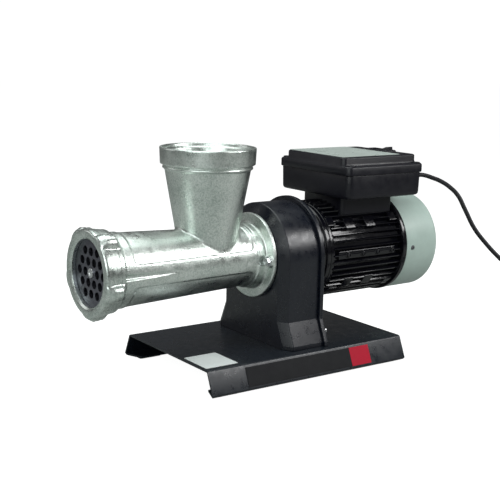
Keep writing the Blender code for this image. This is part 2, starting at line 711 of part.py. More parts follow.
def cutting_plate():
    plate = rod(PLATE_R, PLATE_FRONT, PLATE_BACK)
    holes = []
    for x, z in plate_hole_places():
        middle = abs(x) + abs(z) < 1 * MM
        radius = PIN_R + RUN if middle else PLATE_HOLE_R
        sides = None if middle else PLATE_HOLE_SIDES
        holes.append(moved(rod(radius, PLATE_FRONT - 5 * MM, PLATE_BACK + 5 * MM, sides=sides), x, 0, z))
    notch = moved(rod(KEY_R + 2 * RUN, PLATE_FRONT - 5 * MM, PLATE_BACK + 5 * MM), z=-PLATE_R)
    finish_object("cutting_plate", cut(plate, *holes, notch), "hard_steel", SHAFT)


def ring_outline(reach, count=6):
    """Outer outline of the ring nut, with round lugs."""
    points = []
    step = math.tau / RING_LUGS
    centre = reach - RING_LUG_R
    half = math.asin(RING_LUG_R / centre) * 0.92
    for lug in range(RING_LUGS):
        middle = -math.pi / 2 + lug * step
        for i in range(count + 1):
            angle = middle - half + 2 * half * i / count
            off = angle - middle
            root = max(0.0, RING_LUG_R ** 2 - (centre * math.sin(off)) ** 2)
            points.append((max(RING_R, centre * math.cos(off) + math.sqrt(root)), angle))
        for i in range(1, 4):
            points.append((RING_R, middle + half + (step - 2 * half) * i / 4))
    return [(radius * math.cos(angle), radius * math.sin(angle)) for radius, angle in points]


def ring_nut():
    """Lugged nut that holds the plate: a lip in front, a smooth bore over the barrel's thread."""
    back = RING_FACE + RING_DEPTH
    stages = (
        (RING_FACE, 0.965), (RING_FACE + RING_CHAMFER, 1.0), (back - RING_STEP, 1.0), (back, 0.955),
    )
    outlines = []
    for station, share in stages:
        outlines.append([(x * share, station, z * share) for x, z in ring_outline(RING_LUG_REACH)])
    bore = turned([
        (0, RING_FACE - 5 * MM), (RING_MOUTH_R + 6 * MM, RING_FACE - 5 * MM),
        (RING_MOUTH_R, RING_FACE + 1.5 * MM), (RING_MOUTH_R, RING_FACE + RING_LIP),
        (THREAD_R + RUN, RING_FACE + RING_LIP), (THREAD_R + RUN, back + 5 * MM), (0, back + 5 * MM),
    ])
    finish_object("ring_nut", cut(loft(outlines), bore), "tinned_iron", SHAFT)


# ---- gearbox ----------------------------------------------------------------------------------

def pedestal_outline(inset, floor=0.0, crown=0.0):
    """Front view of the pedestal, inset on its sides and top: a drum on a flared foot. The crown
    lifts the drum's arc."""
    radius = DRUM_R - inset
    foot = FOOT_HALF - inset
    bottom = -AXIS_HEIGHT + GAP + floor
    middle = crown - DRUM_DROP
    arc = [
        (radius * math.cos(math.pi * i / ARC_STEPS), radius * math.sin(math.pi * i / ARC_STEPS) + middle)
        for i in range(ARC_STEPS + 1)
    ]
    right = [(foot, bottom), (foot, FOOT_TOP + floor), (radius, FLARE_TOP)]
    left = [(-x, z) for x, z in reversed(right)]
    return right + arc + left


def standing(outline, station):
    return [(x, station, z) for x, z in outline]


def bearing_pocket(radius, low, high, z=0.0):
    return moved(rod(radius + GAP, low, high), z=z)


def cover_screw_places():
    slope = (FOOT_HALF - DRUM_R) / (FLARE_TOP - FOOT_TOP)
    half = DRUM_R + (FLARE_TOP - COVER_SCREW_Z) * slope - HOUSING_WALL / 2
    return ((-half, COVER_SCREW_Z), (half, COVER_SCREW_Z))


def gearbox_housing():
    """Hollow casting: chamfered front, bearing hubs in the front wall, open to the rear cover."""
    solid = loft([
        standing(pedestal_outline(CHAMFER_IN), HOUSING_FACE),
        standing(pedestal_outline(0), HOUSING_FACE + CHAMFER_BACK),
        standing(pedestal_outline(0), HOUSING_BACK),
    ])
    cavity_front = HOUSING_FACE + HOUSING_WALL
    cavity = loft([
        standing(pedestal_outline(HOUSING_WALL + CAVITY_BEVEL, PEDESTAL_FLOOR), cavity_front),
        standing(pedestal_outline(HOUSING_WALL, PEDESTAL_FLOOR), cavity_front + CAVITY_BEVEL),
        standing(pedestal_outline(HOUSING_WALL, PEDESTAL_FLOOR), HOUSING_BACK + 5 * MM),
    ])
    hub = rod(HUB_R, HOUSING_FACE + 2 * MM, HUB_BACK)
    boss_back = LAY_BEARING_AT + BEARING_T
    boss = moved(rod(BOSS_R, HOUSING_FACE + 2 * MM, boss_back), z=-CENTRES)
    shell = join(cut(solid, cavity), hub, boss)
    holes = [
        rod(SEAL_R + GAP, HOUSING_FACE - 5 * MM, OUTPUT_BEARING_FRONT - GAP),
        bearing_pocket(OUTPUT_BEARING_R, OUTPUT_BEARING_FRONT - 2 * GAP, HUB_BACK + 5 * MM),
        bearing_pocket(LAY_BEARING_R, LAY_BEARING_AT, boss_back + 5 * MM, -CENTRES),
    ]
    for side in (-1, 1):
        bolt = rod(HEAD_BOLT_R + RUN, HOUSING_FACE - 5 * MM, HOUSING_FACE + HOUSING_WALL + 12 * MM)
        holes.append(moved(bolt, x=side * HEAD_BOLT_CIRCLE))
        foot_hole = rod(PEDESTAL_BOLT_R + RUN, -5 * MM, PEDESTAL_FLOOR - 2 * MM, axis="Z")
        holes.append(moved(foot_hole, side * PEDESTAL_BOLT_X, PEDESTAL_BOLT_STATION, -AXIS_HEIGHT))
    for x, z in cover_screw_places():
        hole = rod(COVER_SCREW_R + RUN, HOUSING_BACK - SCREW_DEPTH - 2 * MM, HOUSING_BACK + 5 * MM)
        holes.append(moved(hole, x, 0, z))
    finish_object("gearbox_housing", cut(shell, *holes), "black_casting", SHAFT)


def gearbox_cover():
    """Rear cover: opening for the motor's spigot and a boss for the layshaft's rear bearing."""
    plate = loft([
        standing(pedestal_outline(-COVER_LIP, crown=COVER_CROWN), COVER_FRONT),
        standing(pedestal_outline(-COVER_LIP, crown=COVER_CROWN), COVER_BACK - COVER_BEVEL),
        standing(pedestal_outline(COVER_BEVEL - COVER_LIP, crown=COVER_CROWN), COVER_BACK),
    ])
    boss = moved(rod(BOSS_R, LAY_REAR_BEARING_AT, COVER_BACK - 2 * MM), z=-CENTRES)
    holes = [
        rod(SPIGOT_R + GAP, COVER_FRONT - 5 * MM, COVER_BACK + 5 * MM, sides=WIDE_SIDES),
        bearing_pocket(LAY_BEARING_R, LAY_REAR_BEARING_AT - 5 * MM, LAY_BACK + GAP, -CENTRES),
    ]
    for x, z in cover_screw_places():
        holes.append(moved(rod(COVER_SCREW_R + RUN, COVER_FRONT - 5 * MM, COVER_BACK + 5 * MM), x, 0, z))
    finish_object("gearbox_cover", cut(join(plate, boss), *holes), "black_casting", SHAFT)


def cover_screws():
    for name, (x, z) in zip(("cover_screw_left", "cover_screw_right"), cover_screw_places()):
        seat = COVER_BACK + GAP
        head = rod(COVER_SCREW_R + SCREW_HEAD_OVER, seat, seat + SCREW_HEAD_T)
        shank = rod(COVER_SCREW_R, HOUSING_BACK - SCREW_DEPTH, seat + 1 * MM)
        finish_object(name, join(head, shank), "steel", SHAFT + Vector((x, 0, z)))


def pedestal_bolts():
    """Bolts through the base plate, from below, into the pedestal's foot."""
    for name, side in (("pedestal_bolt_left", -1), ("pedestal_bolt_right", 1)):
        seat = -SHEET - GAP
        head = rod(PEDESTAL_BOLT_R + BOLT_HEAD_OVER, seat - BOLT_HEAD_T, seat, "Z", 6)
        shank = rod(PEDESTAL_BOLT_R, -SHEET - 2 * MM, PEDESTAL_FLOOR - 3 * MM, axis="Z")
        place = Vector((side * PEDESTAL_BOLT_X, FLANGE_Y + PEDESTAL_BOLT_STATION, BASE_TOP))
        finish_object(name, join(head, shank), "steel", place)


def bearing(name, outer, inner, station, place):
    """Ball bearing, simplified to the ring that its races fill."""
    finish_object(name, tube(outer, inner, station, station + BEARING_T), "hard_steel", place)


def involute(angle):
    return math.tan(angle) - angle


def gear_outline(teeth, first_tooth):
    """Involute gear outline with a tooth centred at the angle first_tooth."""
    pitch_r = teeth * MODULE / 2
    base_r = pitch_r * math.cos(PRESSURE)
    tip_r = pitch_r + 0.92 * MODULE
    root_r = pitch_r - 1.25 * MODULE
    half_pitch = math.pi / (2 * teeth) - BACKLASH / (2 * pitch_r) + involute(PRESSURE)
    start = max(base_r, root_r)
    flank = []
    for i in range(3):
        radius = start + (tip_r - start) * i / 2
        flank.append((radius, half_pitch - involute(math.acos(base_r / radius))))
    outline = []
    for tooth in range(teeth):
        middle = first_tooth + math.tau * tooth / teeth
        edge = [(root_r, -flank[0][1])] + [(radius, -half) for radius, half in flank]
        edge += [(radius, half) for radius, half in reversed(flank)] + [(root_r, flank[0][1])]
        for radius, off in edge:
            angle = middle + off
            outline.append((radius * math.cos(angle), radius * math.sin(angle)))
    return outline


def gear(name, teeth, first_tooth, station, thickness, bore, place):
    blank = prism(gear_outline(teeth, first_tooth), station, station + thickness)
    hole = rod(bore + RUN, station - 5 * MM, station + thickness + 5 * MM)
    finish_object(name, cut(blank, hole), "hard_steel", place)


def gear_train():
    """Shafts, gears and bearings; the teeth of each pair are in mesh at rest."""
    down, up = -math.pi / 2, math.pi / 2
    seal = tube(SEAL_R, OUTPUT_R + RUN, SEAL_FRONT, SEAL_FRONT + SEAL_T)
    finish_object("oil_seal", seal, "black_rubber", SHAFT)
    bearing("output_bearing_front", OUTPUT_BEARING_R, OUTPUT_R + RUN, OUTPUT_BEARING_FRONT, SHAFT)
    bearing("output_bearing_rear", OUTPUT_BEARING_R, OUTPUT_R + RUN, OUTPUT_BEARING_REAR, SHAFT)
    socket = DRIVE_SQUARE / 2 + RUN
    output_front = AUGER_BACK + GAP
    output = turned([
        (0, output_front), (OUTPUT_R, output_front), (OUTPUT_R, OUTPUT_GEAR_AT - GAP),
        (OUTPUT_SEAT_R, OUTPUT_GEAR_AT - GAP), (OUTPUT_SEAT_R, OUTPUT_END), (0, OUTPUT_END),
    ])
    square = prism(rectangle(socket, socket), output_front - 5 * MM, AUGER_BACK + DRIVE_DEPTH + 1 * MM)
    finish_object("output_shaft", cut(output, square), "hard_steel", SHAFT)
    gear("output_gear", OUTPUT_TEETH, down, OUTPUT_GEAR_AT, OUTPUT_GEAR_T, OUTPUT_SEAT_R, SHAFT)
    finish_object("layshaft", rod(LAY_R, LAY_FRONT, LAY_BACK), "hard_steel", LAYSHAFT)
    gear("layshaft_pinion", LAY_PINION_TEETH, up + math.pi / LAY_PINION_TEETH,
         OUTPUT_GEAR_AT - 1 * MM, OUTPUT_GEAR_T + 2 * MM, LAY_R, LAYSHAFT)
    gear("layshaft_gear", LAY_GEAR_TEETH, up + math.pi / LAY_GEAR_TEETH,
         LAY_GEAR_AT, LAY_GEAR_T, LAY_R, LAYSHAFT)
    bearing("layshaft_bearing_front", LAY_BEARING_R, LAY_R + RUN, LAY_BEARING_AT + GAP, LAYSHAFT)
    bearing("layshaft_bearing_rear", LAY_BEARING_R, LAY_R + RUN, LAY_REAR_BEARING_AT, LAYSHAFT)
    gear("motor_pinion", MOTOR_TEETH, down, LAY_GEAR_AT - 0.5 * MM, LAY_GEAR_T + 1 * MM,
         MOTOR_PINION_SEAT_R, SHAFT)


# ---- motor ------------------------------------------------------------------------------------

def motor_shells():
    """Front shield with a spigot in the gearbox cover, finned frame, rear shield."""
    pocket = MOTOR_BEARING_R + GAP
    front = turned([
        (MOTOR_SHAFT_R + RUN, COVER_FRONT), (SPIGOT_R, COVER_FRONT), (SPIGOT_R, SHIELD_FRONT),
        (SHIELD_R, SHIELD_FRONT), (SHIELD_R, FRAME_FRONT - GAP), (FRAME_BORE_R, FRAME_FRONT - GAP),
        (FRAME_BORE_R, SHIELD_FRONT + SHIELD_WALL), (pocket + 5 * MM, SHIELD_FRONT + SHIELD_WALL),
        (pocket + 5 * MM, MOTOR_BEARING_FRONT + BEARING_T), (pocket, MOTOR_BEARING_FRONT + BEARING_T),
        (pocket, MOTOR_BEARING_FRONT - GAP), (MOTOR_SHAFT_R + RUN, MOTOR_BEARING_FRONT - GAP),
    ])
    finish_object("front_end_shield", front, "black_motor", SHAFT)
    outline = []
    for i in range(FIN_COUNT):
        middle = math.tau * i / FIN_COUNT
        half = math.pi / FIN_COUNT * FIN_SHARE
        root = half * 1.3
        for radius, off in ((FIN_ROOT_R, -root), (FIN_R, -half), (FIN_R, half), (FIN_ROOT_R, root)):
            outline.append((radius * math.cos(middle + off), radius * math.sin(middle + off)))
    frame_bm = cut(prism(outline, FRAME_FRONT, FRAME_BACK), rod(FRAME_BORE_R, 0, MOTOR_REACH))
    finish_object("motor_frame", frame_bm, "black_motor", SHAFT)
    rear = turned([
        (MOTOR_SHAFT_R + RUN, REAR_RING_FRONT + GAP), (pocket, REAR_RING_FRONT + GAP),
        (pocket, REAR_BEARING_AT), (pocket + 5 * MM, REAR_BEARING_AT),
        (pocket + 5 * MM, REAR_RING_FRONT), (REAR_RING_R, REAR_RING_FRONT),
        (REAR_RING_R, REAR_RING_BACK), (MOTOR_SHAFT_R + RUN, REAR_RING_BACK),
    ])
    finish_object("rear_end_shield", rear, "black_motor", SHAFT)


def motor_inside():
    """Shaft, rotor and stator cores, winding heads and bearings."""
    shaft = turned([
        (0, ROTOR_FRONT), (MOTOR_PINION_SEAT_R, ROTOR_FRONT),
        (MOTOR_PINION_SEAT_R, LAY_GEAR_AT + LAY_GEAR_T + 1 * MM),
        (MOTOR_SHAFT_R, LAY_GEAR_AT + LAY_GEAR_T + 1 * MM), (MOTOR_SHAFT_R, FAN_BACK + 4 * MM),
        (0, FAN_BACK + 4 * MM),
    ])
    finish_object("motor_shaft", shaft, "steel", SHAFT)
    core_back = CORE_FRONT + CORE_LENGTH
    rotor = tube(ROTOR_R, MOTOR_SHAFT_R + RUN, CORE_FRONT, core_back)
    finish_object("rotor_core", rotor, "core_steel", SHAFT)
    stator = tube(FRAME_BORE_R - GAP, ROTOR_R + AIR_GAP, CORE_FRONT, core_back)
    finish_object("stator_core", stator, "core_steel", SHAFT)
    for name, low in (
        ("winding_front", CORE_FRONT - GAP - WINDING_LENGTH),
        ("winding_rear", core_back + GAP),
    ):
        winding = tube(FRAME_BORE_R - WINDING_OUT, ROTOR_R + WINDING_IN, low, low + WINDING_LENGTH)
        finish_object(name, winding, "copper_winding", SHAFT)
    bearing("motor_bearing_front", MOTOR_BEARING_R, MOTOR_SHAFT_R + RUN, MOTOR_BEARING_FRONT, SHAFT)
    bearing("motor_bearing_rear", MOTOR_BEARING_R, MOTOR_SHAFT_R + RUN, REAR_BEARING_AT, SHAFT)


def cooling_fan():
    hub = rod(FAN_HUB_R, FAN_AT, FAN_BACK)
    disc = rod(FAN_R, FAN_AT, FAN_AT + FAN_DISC_T)
    low, high, half = FAN_HUB_R - 6 * MM, FAN_R - 2 * MM, FAN_BLADE_T / 2
    blades = []
    for i in range(FAN_BLADES):
        outline = [(low, -half), (high, -half), (high, half), (low, half)]
        blade = prism(outline, FAN_AT + 1 * MM, FAN_BACK - 1 * MM)
        spin = Matrix.Rotation(math.tau * i / FAN_BLADES, 3, "Y")
        bmesh.ops.rotate(blade, verts=blade.verts, matrix=spin)
        blades.append(blade)
    bore = rod(MOTOR_SHAFT_R + RUN, FAN_AT - 5 * MM, FAN_BACK + 5 * MM)
    finish_object("cooling_fan", cut(join(hub, disc, *blades), bore), "black_plastic", SHAFT)


def fan_cover():
    """Thin cowl with a rounded rear edge and radial air slots."""
    rim = FAN_COVER_R - FAN_COVER_ROUND
    outer, inner = [], []
    for i in range(4):
        angle = math.pi / 2 * i / 3
        a, b = math.cos(angle), math.sin(angle)
        outer.append((rim + FAN_COVER_ROUND * a, MOTOR_REACH - FAN_COVER_ROUND + FAN_COVER_ROUND * b))
        inside = FAN_COVER_ROUND - FAN_COVER_WALL
        inner.append((rim + inside * a, MOTOR_REACH - FAN_COVER_ROUND + inside * b))
    profile = [(0, MOTOR_REACH - FAN_COVER_WALL)] + inner[::-1]
    profile += [(FAN_COVER_R - FAN_COVER_WALL, FAN_COVER_FRONT), (FAN_COVER_R, FAN_COVER_FRONT)]
    profile += outer + [(0, MOTOR_REACH)]
    shell = turned(profile)
    slots = []
    for i in range(GRILLE_SLOTS):
        outline = [
            (GRILLE_IN_R, -2 * MM), (GRILLE_OUT_R, -3.5 * MM),
            (GRILLE_OUT_R, 3.5 * MM), (GRILLE_IN_R, 2 * MM),
        ]
        slot = prism(outline, MOTOR_REACH - 5 * MM, MOTOR_REACH + 5 * MM)
        spin = Matrix.Rotation(math.tau * (i + 0.5) / GRILLE_SLOTS, 3, "Y")
        bmesh.ops.rotate(slot, verts=slot.verts, matrix=spin)
        slots.append(slot)
    screw_at = FAN_COVER_FRONT + FAN_SCREW_FROM_EDGE
    screw_hole = rod(FAN_SCREW_R + RUN, FAN_COVER_R - 8 * MM, FAN_COVER_R + 8 * MM, "Z")
    turn_to_side(screw_hole)
    moved(screw_hole, y=screw_at)
    finish_object("fan_cover", cut(shell, *slots, screw_hole), "fan_cover_paint", SHAFT)
    screw = join(
        rod(FAN_SCREW_R + 1.5 * MM, FAN_COVER_R + GAP, FAN_COVER_R + 2 * MM, "Z"),
        rod(FAN_SCREW_R, FAN_COVER_R - 6 * MM, FAN_COVER_R + 1 * MM, "Z"),
    )
    turn_to_side(screw)
    finish_object("fan_cover_screw", moved(screw, y=screw_at), "steel", SHAFT)


def turn_to_side(bm):
    """Turns a piece made along +Z so that it lies along +X."""
    bmesh.ops.rotate(bm, verts=bm.verts, matrix=Matrix.Rotation(math.pi / 2, 3, "Y"))


# ---- terminal box -----------------------------------------------------------------------------

def box_solid(half_x, half_y, corner, low, high, station=BOX_STATION, x=0.0):
    return prism(shifted(rectangle(half_x, half_y, corner), x, station), low, high, "Z")


def terminal_box():
    """Open box with a neck that straddles the motor's fins and a cable entry at the rear."""
    body = box_solid(BOX_HALF_X, BOX_HALF_Y, BOX_CORNER, BOX_BOTTOM, BOX_TOP)
    neck_middle = (NECK_FRONT + FRAME_BACK) / 2
    neck_half = (FRAME_BACK - NECK_FRONT) / 2 - GAP
    neck_low = BOX_BOTTOM - NECK_DEPTH
    neck = box_solid(NECK_HALF_X, neck_half, BOX_CORNER, neck_low, BOX_BOTTOM + 1 * MM, neck_middle)
    inside = box_solid(BOX_HALF_X - BOX_WALL, BOX_HALF_Y - BOX_WALL, BOX_CORNER - BOX_WALL,
                       BOX_BOTTOM + BOX_WALL, BOX_TOP + 5 * MM)
    passage = box_solid(NECK_HALF_X - NECK_WALL, neck_half - NECK_WALL, BOX_CORNER,
                        neck_low - 10 * MM, BOX_BOTTOM + 10 * MM, neck_middle)
    saddle = rod((FIN_R + GAP) / math.cos(math.pi / WIDE_SIDES), 0, MOTOR_REACH)
    entry_back = BOX_STATION + BOX_HALF_Y
    entry = moved(rod(GLAND_THREAD_R + GAP, entry_back - 10 * MM, entry_back + 5 * MM), GLAND_X, 0, GLAND_Z)
    bm = cut(join(body, neck), inside, passage, saddle, entry)
    finish_object("terminal_box", bm, "black_plastic", SHAFT)


def box_lid():
    """Lid with an outer rim, a raised middle and a window for the switch."""
    rim_top = LID_BOTTOM + LID_RIM_T
    rim = box_solid(LID_HALF_X, LID_HALF_Y, BOX_CORNER, LID_BOTTOM, rim_top)
    raised = loft([
        [(x, y, z) for x, y in shifted(rectangle(half_x, half_y, BOX_CORNER), 0, BOX_STATION)]
        for half_x, half_y, z in (
            (LID_RAISED_HALF_X, LID_RAISED_HALF_Y, rim_top - 1 * MM),
            (LID_RAISED_HALF_X, LID_RAISED_HALF_Y, LID_TOP - LID_BEVEL),
            (LID_RAISED_HALF_X - LID_BEVEL, LID_RAISED_HALF_Y - LID_BEVEL, LID_TOP),
        )
    ])
    low_room = box_solid(LID_HALF_X - BOX_WALL, LID_HALF_Y - BOX_WALL, BOX_CORNER - BOX_WALL,
                         LID_BOTTOM - 5 * MM, rim_top - BOX_WALL)
    high_room = box_solid(LID_RAISED_HALF_X - BOX_WALL, LID_RAISED_HALF_Y - BOX_WALL, BOX_CORNER - BOX_WALL,
                          LID_BOTTOM, LID_TOP - BOX_WALL)
    window = box_solid(SWITCH_LENGTH / 2 - SWITCH_FRAME + GAP, SWITCH_WIDTH / 2 - SWITCH_FRAME + GAP, 0,
                       LID_TOP - 10 * MM, LID_TOP + 5 * MM, SWITCH_STATION, SWITCH_X)
    finish_object("box_lid", cut(join(rim, raised), low_room, high_room, window), "black_plastic", SHAFT)
    plate_front = BOX_STATION - LID_RAISED_HALF_Y + LID_BEVEL + 1 * MM
    plate = box_solid(LID_RAISED_HALF_X - NAMEPLATE_BORDER, NAMEPLATE_LENGTH / 2, 2 * MM, LID_TOP + GAP,
                      LID_TOP + GAP + NAMEPLATE_T, plate_front + NAMEPLATE_LENGTH / 2)
    finish_object("lid_nameplate", plate, "nameplate", SHAFT)


def switch():
    """Bezel with its open body in the lid's window, and the rocker tilted to its off side."""
    body_x, body_y = SWITCH_LENGTH / 2 - SWITCH_FRAME, SWITCH_WIDTH / 2 - SWITCH_FRAME
    bezel = box_solid(SWITCH_LENGTH / 2, SWITCH_WIDTH / 2, SWITCH_FRAME, LID_TOP + GAP,
                      LID_TOP + GAP + SWITCH_BEZEL_T, SWITCH_STATION, SWITCH_X)
    body = box_solid(body_x, body_y, 0, LID_TOP - SWITCH_BODY_DEPTH, LID_TOP + 1 * MM,
                     SWITCH_STATION, SWITCH_X)
    well_x, well_y = body_x - SWITCH_BODY_WALL, body_y - SWITCH_BODY_WALL
    well = box_solid(well_x, well_y, 0, LID_TOP - SWITCH_BODY_DEPTH + SWITCH_BODY_WALL, LID_TOP + 10 * MM,
                     SWITCH_STATION, SWITCH_X)
    finish_object("switch_bezel", cut(join(bezel, body), well), "black_plastic", SHAFT)
    half = well_x - ROCKER_SIDE_GAP
    outline = [
        (-half, -1 * MM), (0, -3.5 * MM), (half, -1 * MM),
        (half, 4.2 * MM), (half * 0.5, 2.6 * MM), (0, 2 * MM), (-half * 0.5, 2.6 * MM), (-half, 4.2 * MM),
    ]
    rocker = prism(outline, ROCKER_SIDE_GAP - well_y, well_y - ROCKER_SIDE_GAP)
    bmesh.ops.rotate(rocker, verts=rocker.verts, matrix=Matrix.Rotation(-ROCKER_TILT, 3, "Y"))
    place = SHAFT + Vector((SWITCH_X, SWITCH_STATION, LID_TOP))
    finish_object("switch_rocker", rocker, "black_plastic", place)


def box_contents():
    """Start capacitor and terminal block on the box's floor."""
    floor = BOX_BOTTOM + BOX_WALL + GAP
    capacitor = moved(rod(CAPACITOR_R, 0, CAPACITOR_LENGTH), CAPACITOR_X,
                      BOX_STATION - CAPACITOR_LENGTH / 2, floor + CAPACITOR_R)
    finish_object("capacitor", capacitor, "capacitor_shell", SHAFT)
    block = box_solid(BLOCK_HALF_X, BLOCK_HALF_Y, 0, floor, floor + BLOCK_HEIGHT, BOX_STATION, BLOCK_X)
    finish_object("terminal_block", block, "black_plastic", SHAFT)


# ---- mains lead -------------------------------------------------------------------------------

def smooth_route(points, spacing):
    """Points every spacing along a smooth curve through the route's own points. The first two are
    kept, so that the lead leaves its relief straight."""
    steps = 12
    ends = [2 * points[0] - points[1]] + points + [2 * points[-1] - points[-2]]
    fine = []
    for a, b, c, d in zip(ends, ends[1:], ends[2:], ends[3:]):
        for i in range(steps):
            t = i / steps
            fine.append(0.5 * (2 * b + (c - a) * t + (2 * a - 5 * b + 4 * c - d) * t * t
                               + (3 * b - a - 3 * c + d) * t ** 3))
    fine.append(points[-1])
    kept = [fine[0], fine[steps]]
    for point in fine[steps:]:
        if (point - kept[-1]).length >= spacing:
            kept.append(point)
    if (fine[-1] - kept[-1]).length < spacing / 2:
        kept.pop()
    kept.append(fine[-1])
    return kept


def cord_tube(name, points):
    """Round lead as a curve with a bevel and filled caps."""
    curve = bpy.data.curves.new(name, "CURVE")
    curve.dimensions = "3D"
    curve.bevel_depth = CORD_R
    curve.bevel_resolution = 2
    curve.use_fill_caps = True
    spline = curve.splines.new("POLY")
    spline.points.add(len(points) - 1)
    for target, point in zip(spline.points, points):
        target.co = (*point, 1)
    curve.materials.append(MATERIALS["black_rubber"])
    bpy.context.scene.collection.objects.link(bpy.data.objects.new(name, curve))


def gland():
    """Threaded gland in the box's rear wall and the tapered strain relief behind it."""
    wall_out = BOX_STATION + BOX_HALF_Y
    wall_in = wall_out - BOX_WALL
    nut = join(
        rod(GLAND_THREAD_R, wall_in - 5 * MM, wall_out + 1 * MM),
        rod(GLAND_NUT_R, wall_out + GAP, wall_out + GAP + GLAND_NUT_T, sides=8),
    )
    place = SHAFT + Vector((GLAND_X, 0, GLAND_Z))
    finish_object("cable_gland", nut, "black_plastic", place)
    start = wall_out + 2 * GAP + GLAND_NUT_T
    relief = turned([
        (0, start), (RELIEF_R, start), (RELIEF_R, start + 4 * MM),
        (CORD_R + 1 * MM, start + RELIEF_LENGTH - 1 * MM), (CORD_R + 0.6 * MM, start + RELIEF_LENGTH),
        (0, start + RELIEF_LENGTH),
    ])
    finish_object("strain_relief", relief, "black_rubber", place)


def mains_lead():
    """Free stretch, coil of the rest, its tie, the tail and the plug, all on the surface."""
    route = [Vector(point) * MM for point in CORD_ROUTE]
    cord_tube("cord", smooth_route(route, 2.5 * 2 * CORD_R))
    coil_place = Vector((COIL_X, COIL_Y, 0))
    edge = COIL_EDGE
    low, high = COIL_LIFT, COIL_LIFT + COIL_HEIGHT
    coil = turned([
        (COIL_IN_R, low + edge), (COIL_IN_R + edge, low), (COIL_OUT_R - edge, low), (COIL_OUT_R, low + edge),
        (COIL_OUT_R, high - edge), (COIL_OUT_R - edge, high),
        (COIL_IN_R + edge, high), (COIL_IN_R, high - edge),
    ], "Z")
    finish_object("cord_coil", coil, "black_rubber", coil_place)
    middle = (COIL_IN_R + COIL_OUT_R) / 2
    hole_a = (COIL_OUT_R - COIL_IN_R) / 2 + 2 * GAP
    hole_b = COIL_HEIGHT / 2 + GAP
    height = COIL_LIFT + COIL_HEIGHT / 2
    band = cut(
        prism(shifted(rectangle(hole_a + TIE_T, hole_b + TIE_T, 2 * MM, 2), -middle, height),
              -TIE_WIDTH / 2, TIE_WIDTH / 2),
        prism(shifted(rectangle(hole_a, hole_b), -middle, height), -TIE_WIDTH, TIE_WIDTH),
    )
    bmesh.ops.rotate(band, verts=band.verts, matrix=Matrix.Rotation(TIE_ANGLE, 3, "Z"))
    finish_object("coil_tie", band, "black_plastic", coil_place)
    tail_x = COIL_OUT_R - CORD_R
    leave = math.sqrt(COIL_OUT_R ** 2 - (tail_x - CORD_R) ** 2) + GAP
    tail_start = coil_place + Vector((tail_x, -leave, COIL_LIFT + CORD_R))
    rise = PLUG_R - tail_start.z
    points = []
    for i in range(TAIL_STEPS + 1):
        share = i / TAIL_STEPS
        climb = min(1.0, max(0.0, (share - 0.05) / 0.9))
        lift = rise * climb * climb * (3 - 2 * climb)
        points.append(tail_start + Vector((0, -TAIL_LENGTH * share, lift)))
    cord_tube("cord_tail", points)
    plug_place = points[-1] - Vector((0, GAP, 0))
    body = turned([
        (0, 0), (CORD_R + 0.8 * MM, 0), (CORD_R + 3 * MM, -BOOT_LENGTH),
        (PLUG_R * 0.62, -BOOT_LENGTH - 1 * MM),
        (PLUG_R * 0.8, -BOOT_LENGTH - PLUG_LENGTH * 0.45), (PLUG_R, -BOOT_LENGTH - PLUG_LENGTH * 0.6),
        (PLUG_R, -BOOT_LENGTH - PLUG_LENGTH), (0, -BOOT_LENGTH - PLUG_LENGTH),
    ])
    face = -BOOT_LENGTH - PLUG_LENGTH
    pins = [
        moved(rod(PLUG_PIN_R, face - PLUG_PIN_LENGTH, face + 2 * MM), x=side * PLUG_PIN_PITCH / 2)
        for side in (-1, 1)
    ]
    finish_object("plug", join(body, *pins), "black_rubber", plug_place)


# ---- the whole grinder ------------------------------------------------------------------------

for old in list(bpy.data.objects):
    bpy.data.objects.remove(old)
MATERIALS = make_materials()

base_plate()
foot_pads()
base_labels()
grinder_body()
plate_key()
head_bolts()
auger()
knife()
cutting_plate()
ring_nut()
gearbox_housing()
gearbox_cover()
cover_screws()
pedestal_bolts()
gear_train()
motor_shells()
motor_inside()
cooling_fan()
fan_cover()
terminal_box()
box_lid()
switch()
box_contents()
gland()
mains_lead()
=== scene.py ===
"""Looks of the electric meat grinder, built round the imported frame.

Lengths inside the shape functions are millimetres: x across, s along the shaft from the head
flange's front face, z over the shaft axis. place() turns them into the row's frame, in metres.
"""
import json
import math

import bmesh
import bpy
import numpy as np
from mathutils import Matrix, Vector


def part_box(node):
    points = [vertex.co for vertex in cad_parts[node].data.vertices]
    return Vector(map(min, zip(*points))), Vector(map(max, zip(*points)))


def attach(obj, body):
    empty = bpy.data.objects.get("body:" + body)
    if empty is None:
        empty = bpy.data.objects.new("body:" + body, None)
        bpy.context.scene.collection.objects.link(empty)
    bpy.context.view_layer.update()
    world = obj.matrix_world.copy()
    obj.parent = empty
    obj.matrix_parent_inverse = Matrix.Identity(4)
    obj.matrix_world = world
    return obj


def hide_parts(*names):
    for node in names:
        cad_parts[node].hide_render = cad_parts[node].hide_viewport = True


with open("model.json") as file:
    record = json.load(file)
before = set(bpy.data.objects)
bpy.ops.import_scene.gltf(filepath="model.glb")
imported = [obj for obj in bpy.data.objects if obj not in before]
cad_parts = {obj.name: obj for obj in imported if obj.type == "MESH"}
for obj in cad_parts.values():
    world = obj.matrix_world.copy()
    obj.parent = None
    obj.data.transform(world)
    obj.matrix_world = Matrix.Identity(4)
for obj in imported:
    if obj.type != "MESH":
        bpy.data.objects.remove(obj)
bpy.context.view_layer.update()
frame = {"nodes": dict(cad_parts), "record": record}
NODES = frame["nodes"]

MM = 0.001
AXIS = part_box("output_shaft")
AXIS_Z = (AXIS[0].z + AXIS[1].z) / 2
FLANGE_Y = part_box("gearbox_housing")[0].y - 0.0063
LAY_Z = (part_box("layshaft")[0].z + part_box("layshaft")[1].z) / 2
ORIGIN = np.array((0.0, FLANGE_Y, AXIS_Z))


